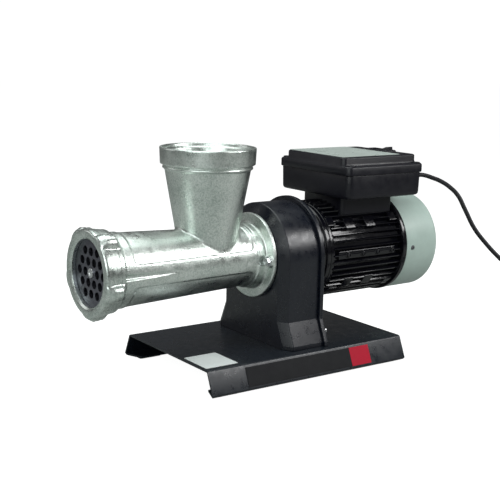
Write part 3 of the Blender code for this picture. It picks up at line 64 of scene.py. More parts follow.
# ---- camera, floor and light ------------------------------------------------------------------

CAMERA_AZIMUTH = math.radians(54.15)
CAMERA_ELEVATION = math.radians(10.95)
CAMERA_ROLL = math.radians(1.39)
CAMERA_DISTANCE = 1.5239
CAMERA_AIM = (0.00203, 0.00713)        # right and up from the flange's centre
CAMERA_LENS = 74.98
FLOOR_HALF = 12.0
FLOOR_Z = -0.0005
FLOOR_GREY = (0.36, 0.37, 0.36, 1)
# Strength seen by the camera, and strength that lights and reflects
FLOOR_GLOW = (0.96, 0.0)
ROOM_GLOW = (1.05, 0.11)
COOL = (0.94, 1.0, 0.99)
# Name, place, aim, width, height, power and colour
SOFTBOXES = (
    ("softbox_top", (-0.2, -0.1, 1.7), (0, 0, 0.15), 1.7, 1.7, 24, COOL),
    ("softbox_front", (1.1, -1.6, 1.05), (0, -0.1, 0.18), 1.9, 1.2, 18, COOL),
    ("softbox_right", (1.2, 1.0, 1.05), (0, 0.05, 0.15), 0.9, 0.55, 15, (1, 1, 1)),
    ("softbox_left", (-1.3, -1.3, 0.9), (0, -0.1, 0.18), 1.0, 1.0, 3, (1, 1, 1)),
)


def make_camera():
    azimuth, elevation = CAMERA_AZIMUTH, CAMERA_ELEVATION
    back = Vector((
        math.sin(azimuth) * math.cos(elevation),
        -math.cos(azimuth) * math.cos(elevation),
        math.sin(elevation),
    ))
    right = Vector((math.cos(azimuth), math.sin(azimuth), 0))
    up = back.cross(right)
    aim = Vector(ORIGIN) + right * CAMERA_AIM[0] + up * CAMERA_AIM[1]
    across = right * math.cos(CAMERA_ROLL) + up * math.sin(CAMERA_ROLL)
    rise = up * math.cos(CAMERA_ROLL) - right * math.sin(CAMERA_ROLL)
    data = bpy.data.cameras.new("camera")
    data.sensor_width = 36
    data.lens = CAMERA_LENS
    data.clip_end = 50
    camera = bpy.data.objects.new("camera", data)
    bpy.context.scene.collection.objects.link(camera)
    turn = Matrix((across, rise, back)).transposed().to_4x4()
    camera.matrix_world = Matrix.Translation(aim + back * CAMERA_DISTANCE) @ turn
    bpy.context.scene.camera = camera


def area_light(name, place, aim, width, height, power, color):
    data = bpy.data.lights.new(name, "AREA")
    data.shape = "RECTANGLE"
    data.size, data.size_y = width, height
    data.energy = power
    data.color = color
    light = bpy.data.objects.new(name, data)
    bpy.context.scene.collection.objects.link(light)
    light.location = place
    direction = Vector(aim) - Vector(place)
    light.rotation_euler = direction.to_track_quat("-Z", "Y").to_euler()


def seen_by_camera(tree, seen, otherwise):
    """Number that differs between what the camera sees and what lights and reflects on the object."""
    path = tree.nodes.new("ShaderNodeLightPath")
    made = tree.nodes.new("ShaderNodeMapRange")
    made.inputs["To Min"].default_value = otherwise
    made.inputs["To Max"].default_value = seen
    tree.links.new(path.outputs["Is Camera Ray"], made.inputs["Value"])
    return made.outputs["Result"]


def make_floor():
    """Pale floor that fades into the white background, with a light contact shadow."""
    mesh = bpy.data.meshes.new("floor")
    corners = ((-1, -1), (1, -1), (1, 1), (-1, 1))
    mesh.from_pydata([(FLOOR_HALF * x, FLOOR_HALF * y, 0) for x, y in corners], [], [(0, 1, 2, 3)])
    floor = bpy.data.objects.new("floor", mesh)
    bpy.context.scene.collection.objects.link(floor)
    floor.location.z = FLOOR_Z
    material = bpy.data.materials.new("floor_white")
    material.use_nodes = True
    shader = material.node_tree.nodes["Principled BSDF"]
    shader.inputs["Base Color"].default_value = FLOOR_GREY
    shader.inputs["Roughness"].default_value = 0.8
    shader.inputs["Emission Color"].default_value = (1, 1, 1, 1)
    glow = seen_by_camera(material.node_tree, *FLOOR_GLOW)
    material.node_tree.links.new(glow, shader.inputs["Emission Strength"])
    mesh.materials.append(material)


def make_studio():
    """Room that looks white to the camera and lights the object dimly, with four softboxes."""
    bpy.context.scene.view_settings.view_transform = "Standard"
    make_floor()
    world = bpy.data.worlds.new("studio")
    bpy.context.scene.world = world
    world.use_nodes = True
    background = world.node_tree.nodes["Background"]
    background.inputs["Color"].default_value = (1, 1, 1, 1)
    strength = seen_by_camera(world.node_tree, *ROOM_GLOW)
    world.node_tree.links.new(strength, background.inputs["Strength"])
    for softbox in SOFTBOXES:
        area_light(*softbox)


# ---- materials --------------------------------------------------------------------------------

class Finish:
    """Builds one Principled material with procedural colour, roughness and bump."""

    def __init__(self, name, color, roughness, metallic=0.0):
        self.material = bpy.data.materials.new(name)
        self.material.use_nodes = True
        self.tree = self.material.node_tree
        self.shader = self.tree.nodes["Principled BSDF"]
        self.shader.inputs["Base Color"].default_value = (*color, 1)
        self.shader.inputs["Roughness"].default_value = roughness
        self.shader.inputs["Metallic"].default_value = metallic
        self.coordinates = self.tree.nodes.new("ShaderNodeTexCoord").outputs["Object"]
        self.normal = None

    def node(self, kind, **settings):
        made = self.tree.nodes.new(kind)
        for key, value in settings.items():
            setattr(made, key, value)
        return made

    def link(self, source, target):
        self.tree.links.new(source, target)

    def noise(self, scale, detail=3.0, roughness=0.55, stretch=(1, 1, 1)):
        mapping = self.node("ShaderNodeMapping")
        mapping.inputs["Scale"].default_value = stretch
        self.link(self.coordinates, mapping.inputs["Vector"])
        made = self.node("ShaderNodeTexNoise")
        made.inputs["Scale"].default_value = scale
        made.inputs["Detail"].default_value = detail
        made.inputs["Roughness"].default_value = roughness
        self.link(mapping.outputs["Vector"], made.inputs["Vector"])
        return made.outputs["Fac"]

    def cells(self, scale, feature="F1"):
        made = self.node("ShaderNodeTexVoronoi", feature=feature)
        made.inputs["Scale"].default_value = scale
        self.link(self.coordinates, made.inputs["Vector"])
        return made.outputs["Distance"]

    def ramp(self, source, stops):
        made = self.node("ShaderNodeValToRGB")
        elements = made.color_ramp.elements
        for index, (place, color) in enumerate(stops):
            element = elements[index] if index < 2 else elements.new(place)
            element.position = place
            element.color = (*color, 1) if len(color) == 3 else color
        self.link(source, made.inputs["Fac"])
        return made.outputs["Color"]

    def range(self, source, low, high, to_low, to_high):
        made = self.node("ShaderNodeMapRange")
        for key, value in (("From Min", low), ("From Max", high), ("To Min", to_low), ("To Max", to_high)):
            made.inputs[key].default_value = value
        self.link(source, made.inputs["Value"])
        return made.outputs["Result"]

    def maths(self, operation, first, second):
        made = self.node("ShaderNodeMath", operation=operation)
        for index, value in enumerate((first, second)):
            if isinstance(value, (int, float)):
                made.inputs[index].default_value = value
            else:
                self.link(value, made.inputs[index])
        return made.outputs["Value"]

    def color_from(self, source):
        self.link(source, self.shader.inputs["Base Color"])
        return self

    def roughness_from(self, source):
        self.link(source, self.shader.inputs["Roughness"])
        return self

    def bump(self, height, distance, strength=1.0):
        made = self.node("ShaderNodeBump")
        made.inputs["Strength"].default_value = strength
        made.inputs["Distance"].default_value = distance
        self.link(height, made.inputs["Height"])
        if self.normal:
            self.link(self.normal, made.inputs["Normal"])
        self.normal = made.outputs["Normal"]
        self.link(self.normal, self.shader.inputs["Normal"])
        return self


def tinned(name, pebble, base_rough=0.3):
    """Tin-dipped casting: bright, faintly green, with a pebbled skin of the given depth."""
    made = Finish(name, (0.7, 0.76, 0.71), base_rough, 1.0)
    stains = made.noise(14, 4, 0.6)
    grain = made.noise(420, 2, 0.7)
    shade = made.maths("ADD", made.maths("MULTIPLY", stains, 0.45), made.maths("MULTIPLY", grain, 0.55))
    made.color_from(made.ramp(shade, [(0.36, (0.46, 0.53, 0.49)), (0.56, (0.78, 0.83, 0.79))]))
    made.roughness_from(made.range(made.noise(60, 5, 0.65), 0.3, 0.7, base_rough - 0.07, base_rough + 0.15))
    made.bump(made.noise(330, 3, 0.65), pebble * MM)
    made.bump(made.noise(40, 2, 0.5), 0.2 * MM)
    return made.material


def painted(name, color, roughness, grain, grain_scale=500, spread=0.12, dust=0.003, gloss=0.5):
    """Paint on metal: slightly uneven gloss, fine orange peel, a little dust in the colour."""
    made = Finish(name, color, roughness)
    made.shader.inputs["Specular IOR Level"].default_value = gloss
    dusty = tuple(c * 1.12 + dust for c in color)
    made.color_from(made.ramp(made.noise(30, 5, 0.6), [(0.35, color), (0.75, dusty)]))
    patches = made.noise(90, 4, 0.6)
    made.roughness_from(made.range(patches, 0.3, 0.7, roughness - spread / 2, roughness + spread))
    made.bump(made.noise(grain_scale, 2, 0.5), grain * MM)
    return made.material


def steel(name, color, roughness, stretch=(1, 1, 1)):
    made = Finish(name, color, roughness, 1.0)
    streaks = made.noise(400, 3, 0.6, stretch)
    low, high = tuple(c * 0.8 for c in color), tuple(min(1, c * 1.12) for c in color)
    made.color_from(made.ramp(streaks, [(0.3, low), (0.7, high)]))
    made.roughness_from(made.range(streaks, 0.3, 0.7, roughness * 0.75, roughness * 1.4))
    made.bump(streaks, 0.03 * MM)
    return made.material


def make_finishes():
    return {
        "tinned_iron": tinned("tinned_iron", 0.32),
        "tinned_smooth": tinned("tinned_smooth", 0.14, 0.27),
        "black_casting": painted("black_casting", (0.002, 0.0035, 0.0085), 0.28, 0.05,
                                 dust=0.0012, gloss=0.55),
        "black_sheet": painted("black_sheet", (0.006, 0.009, 0.014), 0.3, 0.04, 700),
        "black_motor": painted("black_motor", (0.002, 0.002, 0.004), 0.13, 0.08, 300, 0.08, 0.001),
        "fan_cover_paint": painted("fan_cover_paint", (0.4, 0.5, 0.455), 0.38, 0.03, 600, 0.12, 0.01),
        "black_plastic": painted("black_plastic", (0.0035, 0.0035, 0.007), 0.36, 0.05, 900,
                                 dust=0.002, gloss=0.35),
        "black_rubber": painted("black_rubber", (0.006, 0.006, 0.008), 0.5, 0.05, 800, gloss=0.35),
        "steel": steel("steel", (0.66, 0.67, 0.68), 0.25),
        "hard_steel": steel("hard_steel", (0.5, 0.52, 0.53), 0.24),
        "core_steel": steel("core_steel", (0.3, 0.3, 0.32), 0.45, (1, 6, 1)),
        "copper_winding": steel("copper_winding", (0.62, 0.28, 0.12), 0.35, (1, 8, 1)),
        "capacitor_shell": painted("capacitor_shell", (0.7, 0.7, 0.66), 0.4, 0.02),
        "plate_steel": steel("plate_steel", (0.15, 0.15, 0.18), 0.35),
        "dark_steel": steel("dark_steel", (0.16, 0.16, 0.17), 0.3),
        "rocker_plastic": painted("rocker_plastic", (0.006, 0.007, 0.01), 0.25, 0.02, 900),
        "mark_white": painted("mark_white", (0.6, 0.6, 0.6), 0.4, 0.01),
        "nameplate": painted("nameplate", (0.4, 0.45, 0.42), 0.3, 0.02, 500, 0.12, 0.02),
        "white_label": painted("white_label", (0.72, 0.76, 0.75), 0.4, 0.01),
        "dark_label": painted("dark_label", (0.002, 0.0025, 0.004), 0.5, 0.01, 500, 0.05, 0.001, 0.2),
        "red_label": painted("red_label", (0.42, 0.0, 0.02), 0.45, 0.01, 500, 0.05, 0.0, 0.2),
    }


# ---- mains lead -------------------------------------------------------------------------------

CORD_D = 0.007
# Where the lead lies between its strain relief and the coil, in the row's frame, millimetres
CORD_ROUTE = (
    (40, 271.8, 270), (40, 277.5, 270), (42, 285.5, 268.8), (47, 294.7, 265.6), (57.5, 305.2, 260.3),
    (70, 314, 251.4), (80.5, 321, 240), (91, 328.5, 217.7), (103.5, 339, 188.7),
    (117.2, 352.2, 165.9), (131, 366.3, 146.1), (146, 382.3, 127.3), (162, 399, 107),
    (181, 415, 86), (204, 427, 65), (229, 433, 46.5), (251, 429.5, 31.5),
    (268.5, 420, 22.2), (280.5, 407.5, 18.8),
)
COIL_LOW = 5.0             # height of the lower layer's centreline
COIL_HIGH = 11.1
# Degrees wound from the route's end, and the radius and height reached there
WINDING = (
    (0, 43.1, 18.8), (50, 43.65, COIL_HIGH), (345, 43.65, COIL_HIGH), (395, 36.55, COIL_HIGH),
    (700, 36.55, COIL_HIGH), (755, 33.0, COIL_LOW), (1000, 33.0, COIL_LOW), (1050, 40.15, COIL_LOW),
    (1360, 40.15, COIL_LOW), (1410, 47.3, COIL_LOW), (1500, 47.3, COIL_LOW),
)
TAIL_POINTS = 8


def eased(share):
    return share * share * (3 - 2 * share)


def wound(angle):
    """Radius and height of the winding after an angle, with eased steps between its layers."""
    for (before, r0, z0), (after, r1, z1) in zip(WINDING, WINDING[1:]):
        if angle <= after:
            share = eased((angle - before) / (after - before))
            return r0 + (r1 - r0) * share, z0 + (z1 - z0) * share
    return WINDING[-1][1:]


def cord_points():
    """Route, clockwise coil and rising tail, in millimetres."""
    coil, tie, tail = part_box("cord_coil"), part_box("coil_tie"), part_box("cord_tail")
    centre = Vector((coil[0].x + coil[1].x, coil[0].y + coil[1].y, 0)) / 2 / MM
    points = [Vector(point) for point in CORD_ROUTE]
    start = math.degrees(math.atan2(points[-1].y - centre.y, points[-1].x - centre.x))
    leave_x, leave_y = (tail[0].x + tail[1].x) / 2 / MM, tail[1].y / MM
    end = start + 4 * 360 + 4
    steps = round(end / 18)
    for i in range(1, steps + 1):
        wind = end * i / steps
        radius, height = wound(wind)
        angle = math.radians(start - wind)
        points.append(centre + Vector((radius * math.cos(angle), radius * math.sin(angle), height)))
    low_y, rise = tail[0].y / MM, tail[1].z / MM - CORD_D / 2 / MM - COIL_LOW
    for i in range(TAIL_POINTS + 1):
        share = i / TAIL_POINTS
        climb = eased(min(1.0, max(0.0, (share - 0.05) / 0.9)))
        points.append(Vector((leave_x, leave_y + (low_y - leave_y) * share, COIL_LOW + rise * climb)))
    return points


def mains_lead():
    """One length of round flex as a curve with a bevel."""
    points = [point * MM for point in cord_points()]
    curve = bpy.data.curves.new("mains_lead", "CURVE")
    curve.dimensions = "3D"
    curve.bevel_depth = CORD_D / 2
    curve.bevel_resolution = 5
    curve.resolution_u = 5
    curve.use_fill_caps = True
    spline = curve.splines.new("BEZIER")
    spline.bezier_points.add(len(points) - 1)
    for knot, point in zip(spline.bezier_points, points):
        knot.co = point
        knot.handle_left_type = knot.handle_right_type = "AUTO"
    curve.materials.append(FINISHES["black_rubber"])
    lead = bpy.data.objects.new("mains_lead", curve)
    bpy.context.scene.collection.objects.link(lead)
    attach(lead, "frame")
    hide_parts("cord", "cord_coil", "cord_tail")
    ends = [*gland_and_relief(), *plug()]


# ---- mesh helpers -----------------------------------------------------------------------------

def adopt(name, mesh, finish, body="frame", replaces=(), sharp=None):
    mesh.validate()
    bm = bmesh.new()
    bm.from_mesh(mesh)
    bmesh.ops.recalc_face_normals(bm, faces=bm.faces)
    bm.to_mesh(mesh)
    bm.free()
    mesh.materials.append(FINISHES[finish])
    mesh.shade_smooth()
    if sharp:
        mesh.set_sharp_from_angle(angle=math.radians(sharp))
    piece = bpy.data.objects.new(name, mesh)
    bpy.context.scene.collection.objects.link(piece)
    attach(piece, body)
    if replaces:
        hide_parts(*replaces)
    return piece


def place(points):
    """Millimetres round the flange's centre to metres in the row's frame."""
    return np.asarray(points, float) * MM + ORIGIN


def soft_min(a, b, k):
    h = np.clip(0.5 + 0.5 * (b - a) / k, 0, 1)
    return b + (a - b) * h - k * h * (1 - h)


def soft_max(a, b, k):
    return -soft_min(-a, -b, k)


def cast_surface(field, low, high, cell):
    """Closed mesh of the surface where field(x, s, z) is zero: one point in each grid cell that the
    surface crosses, pulled onto the surface, and a face across each grid edge that it crosses."""
    low, high = np.array(low, float), np.array(high, float)
    counts = np.ceil((high - low) / cell).astype(int) + 1
    axes = [low[i] + cell * np.arange(counts[i]) for i in range(3)]
    grid = np.meshgrid(*axes, indexing="ij", sparse=True)
    values = np.broadcast_to(field(*grid), counts).astype(np.float32)
    inside = values < 0
    cells = counts - 1
    total = np.zeros(cells, np.int8)
    corners = [(i, j, k) for i in (0, 1) for j in (0, 1) for k in (0, 1)]
    for i, j, k in corners:
        total += inside[i:i + cells[0], j:j + cells[1], k:k + cells[2]]
    active = np.argwhere((total > 0) & (total < 8))
    index = np.full(cells, -1, np.int64)
    index[tuple(active.T)] = np.arange(len(active))
    sums, hits = np.zeros((len(active), 3)), np.zeros(len(active))
    for axis in range(3):
        step = np.eye(3, dtype=int)[axis]
        for corner in corners:
            if corner[axis]:
                continue
            start = active + corner
            a = values[tuple(start.T)]
            b = values[tuple((start + step).T)]
            crossed = (a < 0) != (b < 0)
            share = np.where(crossed, a / np.where(crossed, a - b, 1), 0)
            point = np.array(corner, float) + step * share[:, None]
            sums += point * crossed[:, None]
            hits += crossed
    points = low + cell * (active + sums / hits[:, None])
    for _ in range(3):
        points -= pull(field, points, cell)
    faces = []
    for axis in range(3):
        step = np.eye(3, dtype=int)[axis]
        one, two = [np.eye(3, dtype=int)[(axis + n) % 3] for n in (1, 2)]
        start = inside[tuple(slice(0, counts[n] - step[n]) for n in range(3))]
        end = inside[tuple(slice(step[n], counts[n]) for n in range(3))]
        crossing = np.argwhere(start != end)
        keep = np.all((crossing - one - two >= 0) | (step == 1), axis=1)
        keep &= np.all(crossing < cells, axis=1)
        crossing = crossing[keep]
        quad = np.stack([
            index[tuple(crossing.T)], index[tuple((crossing - one).T)],
            index[tuple((crossing - one - two).T)], index[tuple((crossing - two).T)],
        ], axis=1)
        flip = inside[tuple(crossing.T)]
        quad[~flip] = quad[~flip][:, ::-1]
        faces.append(quad)
    return points, np.concatenate(faces)


def pull(field, points, cell):
    """Step that takes points onto the field's zero, no longer than half a cell."""
    small = 0.02
    value = field(*points.T)
    slope = np.stack([
        (field(*(points + small * axis).T) - field(*(points - small * axis).T)) / (2 * small)
        for axis in np.eye(3)
    ], axis=1)
    step = slope * (value / np.maximum((slope ** 2).sum(1), 1e-6))[:, None]
    length = np.linalg.norm(step, axis=1, keepdims=True)
    return step * np.minimum(1, cell / 2 / np.maximum(length, 1e-9))


def cast_piece(name, field, low, high, cell, finish, body="frame", replaces=()):
    points, faces = cast_surface(field, low, high, cell)
    mesh = bpy.data.meshes.new(name)
    points = place(points)
    mesh.vertices.add(len(points))
    mesh.vertices.foreach_set("co", points.ravel())
    mesh.loops.add(faces.size)
    mesh.loops.foreach_set("vertex_index", faces.ravel())
    mesh.polygons.add(len(faces))
    mesh.polygons.foreach_set("loop_start", np.arange(0, faces.size, 4))
    mesh.update(calc_edges=True)
    return adopt(name, mesh, finish, body, replaces)


# ---- cutting head -----------------------------------------------------------------------------

HOPPER_S = -73.7
HOPPER_TOP = 160.7
RIM_LOW = 137.0
BARREL_FRONT = -252.0


def barrel_radius(s):
    return 52.3 + (44.4 - 52.3) * np.clip((s + 222) / 202, 0, 1)


def panel_depth(x, s, z):
    """Depth of the sunk panels above and below the plain band on each side of the barrel."""
    corner, edge, middle, half_length = 7.0, 15.3, -118.5, 98.5
    a = np.abs(s - middle) - (half_length - corner)
    b = edge + corner - np.abs(z)
    beyond = np.sqrt(np.maximum(a, 0) ** 2 + np.maximum(b, 0) ** 2)
    outside = beyond + np.minimum(np.maximum(a, b), 0) - corner
    return 1.1 * np.clip(0.5 - outside / 1.6, 0, 1)


def head_outside(x, s, z):
    r = np.sqrt(x * x + z * z)
    barrel = np.maximum(r - barrel_radius(s) + panel_depth(x, s, z), -s - 238)
    nose = np.maximum(r - 53.8, -s + BARREL_FRONT)
    nose = np.maximum(nose, s + 232)
    body = soft_min(barrel, nose, 3.0)
    body = np.maximum(body, s - 3)
    collar = np.maximum(r - 46.6, np.abs(s + 7) - 6.5)
    body = soft_min(body, collar, 2.5)
    flange = soft_max(r - 62.5, np.abs(s - 3) - 3, 1.2)
    body = soft_min(body, flange, 5.0)
    t = s - HOPPER_S
    rh = np.sqrt(x * x + t * t)
    cone = (rh - (62.0 - 0.18 * (RIM_LOW - z))) * 0.984
    cone = np.maximum(cone, -z + 5)
    cone = np.maximum(cone, z - (HOPPER_TOP - 3))
    body = soft_min(body, cone, 4.2)
    bead = np.sqrt(np.maximum(np.abs(rh - 61.5), 0) ** 2 + (z - 132.5) ** 2) - 2.2
    body = soft_min(body, bead, 1.5)
    rim_middle = (RIM_LOW + HOPPER_TOP) / 2
    rim_height = np.abs(z - rim_middle) - (HOPPER_TOP - RIM_LOW) / 2
    rim = soft_max(rh - (67.0 + (z - RIM_LOW) * 0.045), rim_height, 1.6)
    body = soft_min(body, rim, 1.2)
    for side in (-1, 1):
        rb = np.sqrt((x - side * 53.5) ** 2 + z * z)
        boss = soft_max(rb - 8.5, np.abs(s - 0) - 3, 0.8)
        scoop = soft_max(rb - 9.6, np.abs(s + 18) - 14.8, 0.6)
        body = soft_max(body, -scoop, 1.2)
        body = soft_min(body, boss, 1.5)
        body = np.maximum(body, -(rb - 4.3))
    return body


def head_inside(x, s, z):
    r = np.sqrt(x * x + z * z)
    bore = np.maximum(r - (barrel_radius(s) - 6), -s - 246)
    bore = np.maximum(bore, s + 8)
    seat = np.maximum(r - 49.6, s + 243.4)
    shaft = r - 17.4
    t = s - HOPPER_S
    rh = np.sqrt(x * x + t * t)
    throat = (rh - (57.0 - 0.18 * (RIM_LOW - z))) * 0.984
    mouth = rh - (63.1 + np.clip(z - (HOPPER_TOP - 3), 0, 4) * 0.35)
    mouth = np.maximum(mouth, HOPPER_TOP - 5 - z)
    throat = soft_min(throat, mouth, 3)
    throat = np.maximum(throat, -z)
    hollow = soft_min(bore, throat, 2.0)
    return np.minimum(np.minimum(hollow, seat), shaft)


def head(x, s, z):
    return soft_max(head_outside(x, s, z), -head_inside(x, s, z), 1.0)


def grinder_head():
    cast_piece("head_casting", head, (-70, -254, -64.5), (70, 8, 163), 1.3, "tinned_iron",
               replaces=["grinder_body"])


# ---- shape helpers ----------------------------------------------------------------------------

def filleted(points, closed=False, steps=5):
    """Outline in which each corner given as (a, b, radius) is round."""
    made = []
    for i, (a, b, *rest) in enumerate(points):
        here = np.array((a, b), float)
        if not rest or not closed and i in (0, len(points) - 1):
            made.append(here)
            continue
        back = np.array(points[i - 1][:2]) - here
        ahead = np.array(points[(i + 1) % len(points)][:2]) - here
        back_length, ahead_length = np.linalg.norm(back), np.linalg.norm(ahead)
        back, ahead = back / back_length, ahead / ahead_length
        half = math.acos(np.clip(back @ ahead, -1, 1)) / 2
        reach = min(rest[0] / math.tan(half), 0.49 * back_length, 0.49 * ahead_length)
        middle = (back + ahead) / np.linalg.norm(back + ahead)
        centre = here + middle * reach / math.cos(half)
        start, end = here + back * reach - centre, here + ahead * reach - centre
        turn = math.atan2(start[0] * end[1] - start[1] * end[0], start @ end)
        for k in range(steps + 1):
            c, s = math.cos(turn * k / steps), math.sin(turn * k / steps)
            made.append(centre + (start[0] * c - start[1] * s, start[0] * s + start[1] * c))
    return made


def along(axis, a, b, place):
    """Point with a place on the axis and two coordinates across it."""
    return {"s": (a, place, b), "z": (a, b, place), "x": (place, a, b)}[axis]


def lathe(profile, sides=96, axis="s", centre=(0, 0)):
    """Vertices and faces of a turned shape from (radius, place) points. One that ends on the axis is
    solid; any other is a closed ring."""
    points, rings = [], []
    for radius, place in profile:
        count = sides if radius > 1e-6 else 1
        rings.append([len(points) + i for i in range(count)])
        for i in range(count):
            angle = math.tau * i / sides
            a, b = centre[0] + radius * math.cos(angle), centre[1] + radius * math.sin(angle)
            points.append(along(axis, a, b, place))
    pairs = list(zip(rings, rings[1:]))
    if len(rings[0]) > 1:
        pairs.append((rings[-1], rings[0]))
    faces = []
    for low, high in pairs:
        for i in range(sides):
            j = i + 1
            corners = (low[i % len(low)], low[j % len(low)], high[j % len(high)], high[i % len(high)])
            faces.append(tuple(dict.fromkeys(corners)))
    return points, [face for face in faces if len(face) > 2]


def rod(radius, low, high, sides=96, axis="s", centre=(0, 0)):
    return lathe([(0, low), (radius, low), (radius, high), (0, high)], sides, axis, centre)


def loft(rings, capped=True):
    """Vertices and faces through rings of 3-D points with the same count."""
    count = len(rings[0])
    points = [point for ring in rings for point in ring]
    faces = []
    for level in range(len(rings) - 1):
        for i in range(count):
            j = (i + 1) % count
            low, high = level * count, (level + 1) * count
            faces.append((low + i, low + j, high + j, high + i))
    if capped:
        faces.append(tuple(range(count)))
        faces.append(tuple(reversed(range(len(points) - count, len(points)))))
    return points, faces


def block(outline, low, high, axis="z"):
    return loft([[along(axis, a, b, level) for a, b in outline] for level in (low, high)])


def spun(outline, angle, a=0.0, b=0.0):
    """Outline turned about the origin, then moved."""
    c, s = math.cos(angle), math.sin(angle)
    return [(a + u * c - v * s, b + u * s + v * c) for u, v in outline]


def several(*shapes):
    """One list of vertices and faces from several closed shapes."""
    points, faces = [], []
    for shape_points, shape_faces in shapes:
        faces += [tuple(i + len(points) for i in face) for face in shape_faces]
        points += list(shape_points)
    return points, faces


def round_rect(half_a, half_b, corner, a=0.0, b=0.0, steps=6):
    corners = ((-1, -1), (1, -1), (1, 1), (-1, 1))
    return filleted([(a + half_a * i, b + half_b * j, corner) for i, j in corners], True, steps)


def hexagon(radius, a=0.0, b=0.0, turn=0.0):
    return [(a + radius * math.cos(math.tau * i / 6 + turn), b + radius * math.sin(math.tau * i / 6 + turn))
            for i in range(6)]


def make_mesh(shape):
    points, faces = shape
    mesh = bpy.data.meshes.new("shape")
    mesh.from_pydata([tuple(p) for p in place(points)], [], faces)
    return mesh


def carved(shape, *cutters):
    """Mesh of a shape with the cutters taken away."""
    objects = [bpy.data.objects.new("carve", make_mesh(s)) for s in (shape, several(*cutters))]
    for made in objects:
        bpy.context.scene.collection.objects.link(made)
        bm = bmesh.new()
        bm.from_mesh(made.data)
        bmesh.ops.recalc_face_normals(bm, faces=bm.faces)
        bm.to_mesh(made.data)
        bm.free()
    modifier = objects[0].modifiers.new("carve", "BOOLEAN")
    modifier.operation, modifier.solver, modifier.object = "DIFFERENCE", "EXACT", objects[1]
    depsgraph = bpy.context.evaluated_depsgraph_get()
    mesh = bpy.data.meshes.new_from_object(objects[0].evaluated_get(depsgraph))
    for made in objects:
        bpy.data.objects.remove(made)
    return mesh


def part(name, shape, finish, body="frame", replaces=(), sharp=35, edge=0.0):
    """Piece from a shape or a mesh, with its edges rounded to a width in millimetres."""
    mesh = shape if isinstance(shape, bpy.types.Mesh) else make_mesh(shape)
    piece = adopt(name, mesh, finish, body, replaces, sharp)
    if edge:
        soften(piece, edge)
    return piece


def soften(piece, edge):
    bevel = piece.modifiers.new("edges", "BEVEL")
    bevel.width = edge * MM
    bevel.segments = 2
    bevel.limit_method = "ANGLE"
    bevel.angle_limit = math.radians(30)
    bevel.use_clamp_overlap = True
    bevel.harden_normals = True


def span(node, axis):
    """Lowest and highest coordinate of a CAD node in millimetres: x across, s along, z over the axis."""
    low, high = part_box(node)
    index = "xsz".index(axis)
    return (low[index] - ORIGIN[index]) / MM, (high[index] - ORIGIN[index]) / MM


# ---- cutting set ------------------------------------------------------------------------------

RING_LUGS = 5
RING_R = 59.5
LUG_R = 12.5


def lug_radius(angle, reach):
    """Ring nut's outer radius at an angle: a circle with five round lugs, softly joined."""
    step = math.tau / RING_LUGS
    off = (angle + math.pi / 2 + step / 2) % step - step / 2
    centre = reach - LUG_R
    across = centre * math.sin(off)
    if abs(across) >= LUG_R:
        return RING_R
    lug = centre * math.cos(off) + math.sqrt(LUG_R ** 2 - across ** 2)
    return float(soft_max(lug, RING_R, 1.2))


def ring_nut():
    face, back = span("ring_nut", "s")
    reach = span("ring_nut", "x")[1] / math.cos(math.radians(18)) * 0.995
    outer = filleted([
        (56.2, 0.0), (57.0, 0.0, 0.6), (57.9, 0.6), (58.7, 1.4), (59.2, 2.4), (RING_R, 3.8), (RING_R, 5.2),
        (RING_R, 7.5), (RING_R, 10.0, 0.7), (58.4, 10.8, 0.4),
        (58.4, 16.5, 0.6), (57.6, 17.2, 0.4), (57.6, 22.5, 1.0), (56.8, 24.0, 0.6), (56.8, 29.0, 0.9),
        (55.9, 30.0, 0.3),
    ], steps=3)
    inner = filleted([
        (54.5, 30.0, 0.3), (54.5, 7.9, 0.2), (46.1, 7.9, 0.3), (46.1, 2.6, 0.5), (49.0, 0.5, 1.0),
        (50.5, 0.0),
    ], steps=3)
    section = [(r, d, 1) for r, d in outer] + [(r, d, 0) for r, d in inner]
    count = 300
    rings = []
    for i in range(count):
        angle = math.tau * i / count
        lug = lug_radius(angle, reach - 0.05) - RING_R
        ring = []
        for radius, depth, outside in section:
            fade = 1 - eased(min(1.0, max(0.0, (depth - 25.0) / 4.5)))
            swell = 0.35 + 0.65 * eased(min(1.0, depth / 13.0))
            r = radius + outside * lug * fade * swell
            ring.append((r * math.cos(angle), face + depth * (back - face) / 30, r * math.sin(angle)))
        rings.append(ring)
    points, faces = loft(rings + [rings[0]], capped=False)
    size = len(section)
    faces = [tuple(v % (count * size) for v in f) for f in faces]
    part("ring_casting", (points[:count * size], faces), "tinned_smooth", "ring", ["ring_nut"],
         sharp=50)


def plate_holes():
    pitch = 16.6
    return [
        ((i - (4 - abs(row)) / 2) * pitch, row * pitch * math.sqrt(3) / 2)
        for row in range(-2, 3) for i in range(5 - abs(row))
    ]


def cutting_plate():
    face, back = span("cutting_plate", "s")
    disc = lathe(filleted([(0, face), (49.2, face, 0.6), (49.2, back, 0.6), (0, back)], steps=2), 128)
    cutters = []
    for x, z in plate_holes():
        radius = 7.3 if abs(x) + abs(z) < 1 else 6.0
        cutters.append(rod(radius, face - 3, back + 3, 40, centre=(x, z)))
    notch = rod(2.8, face - 3, back + 3, 24, centre=(0, -49.3))
    part("perforated_plate", carved(disc, *cutters, notch), "plate_steel", "plate", ["cutting_plate"],
         edge=0.35)


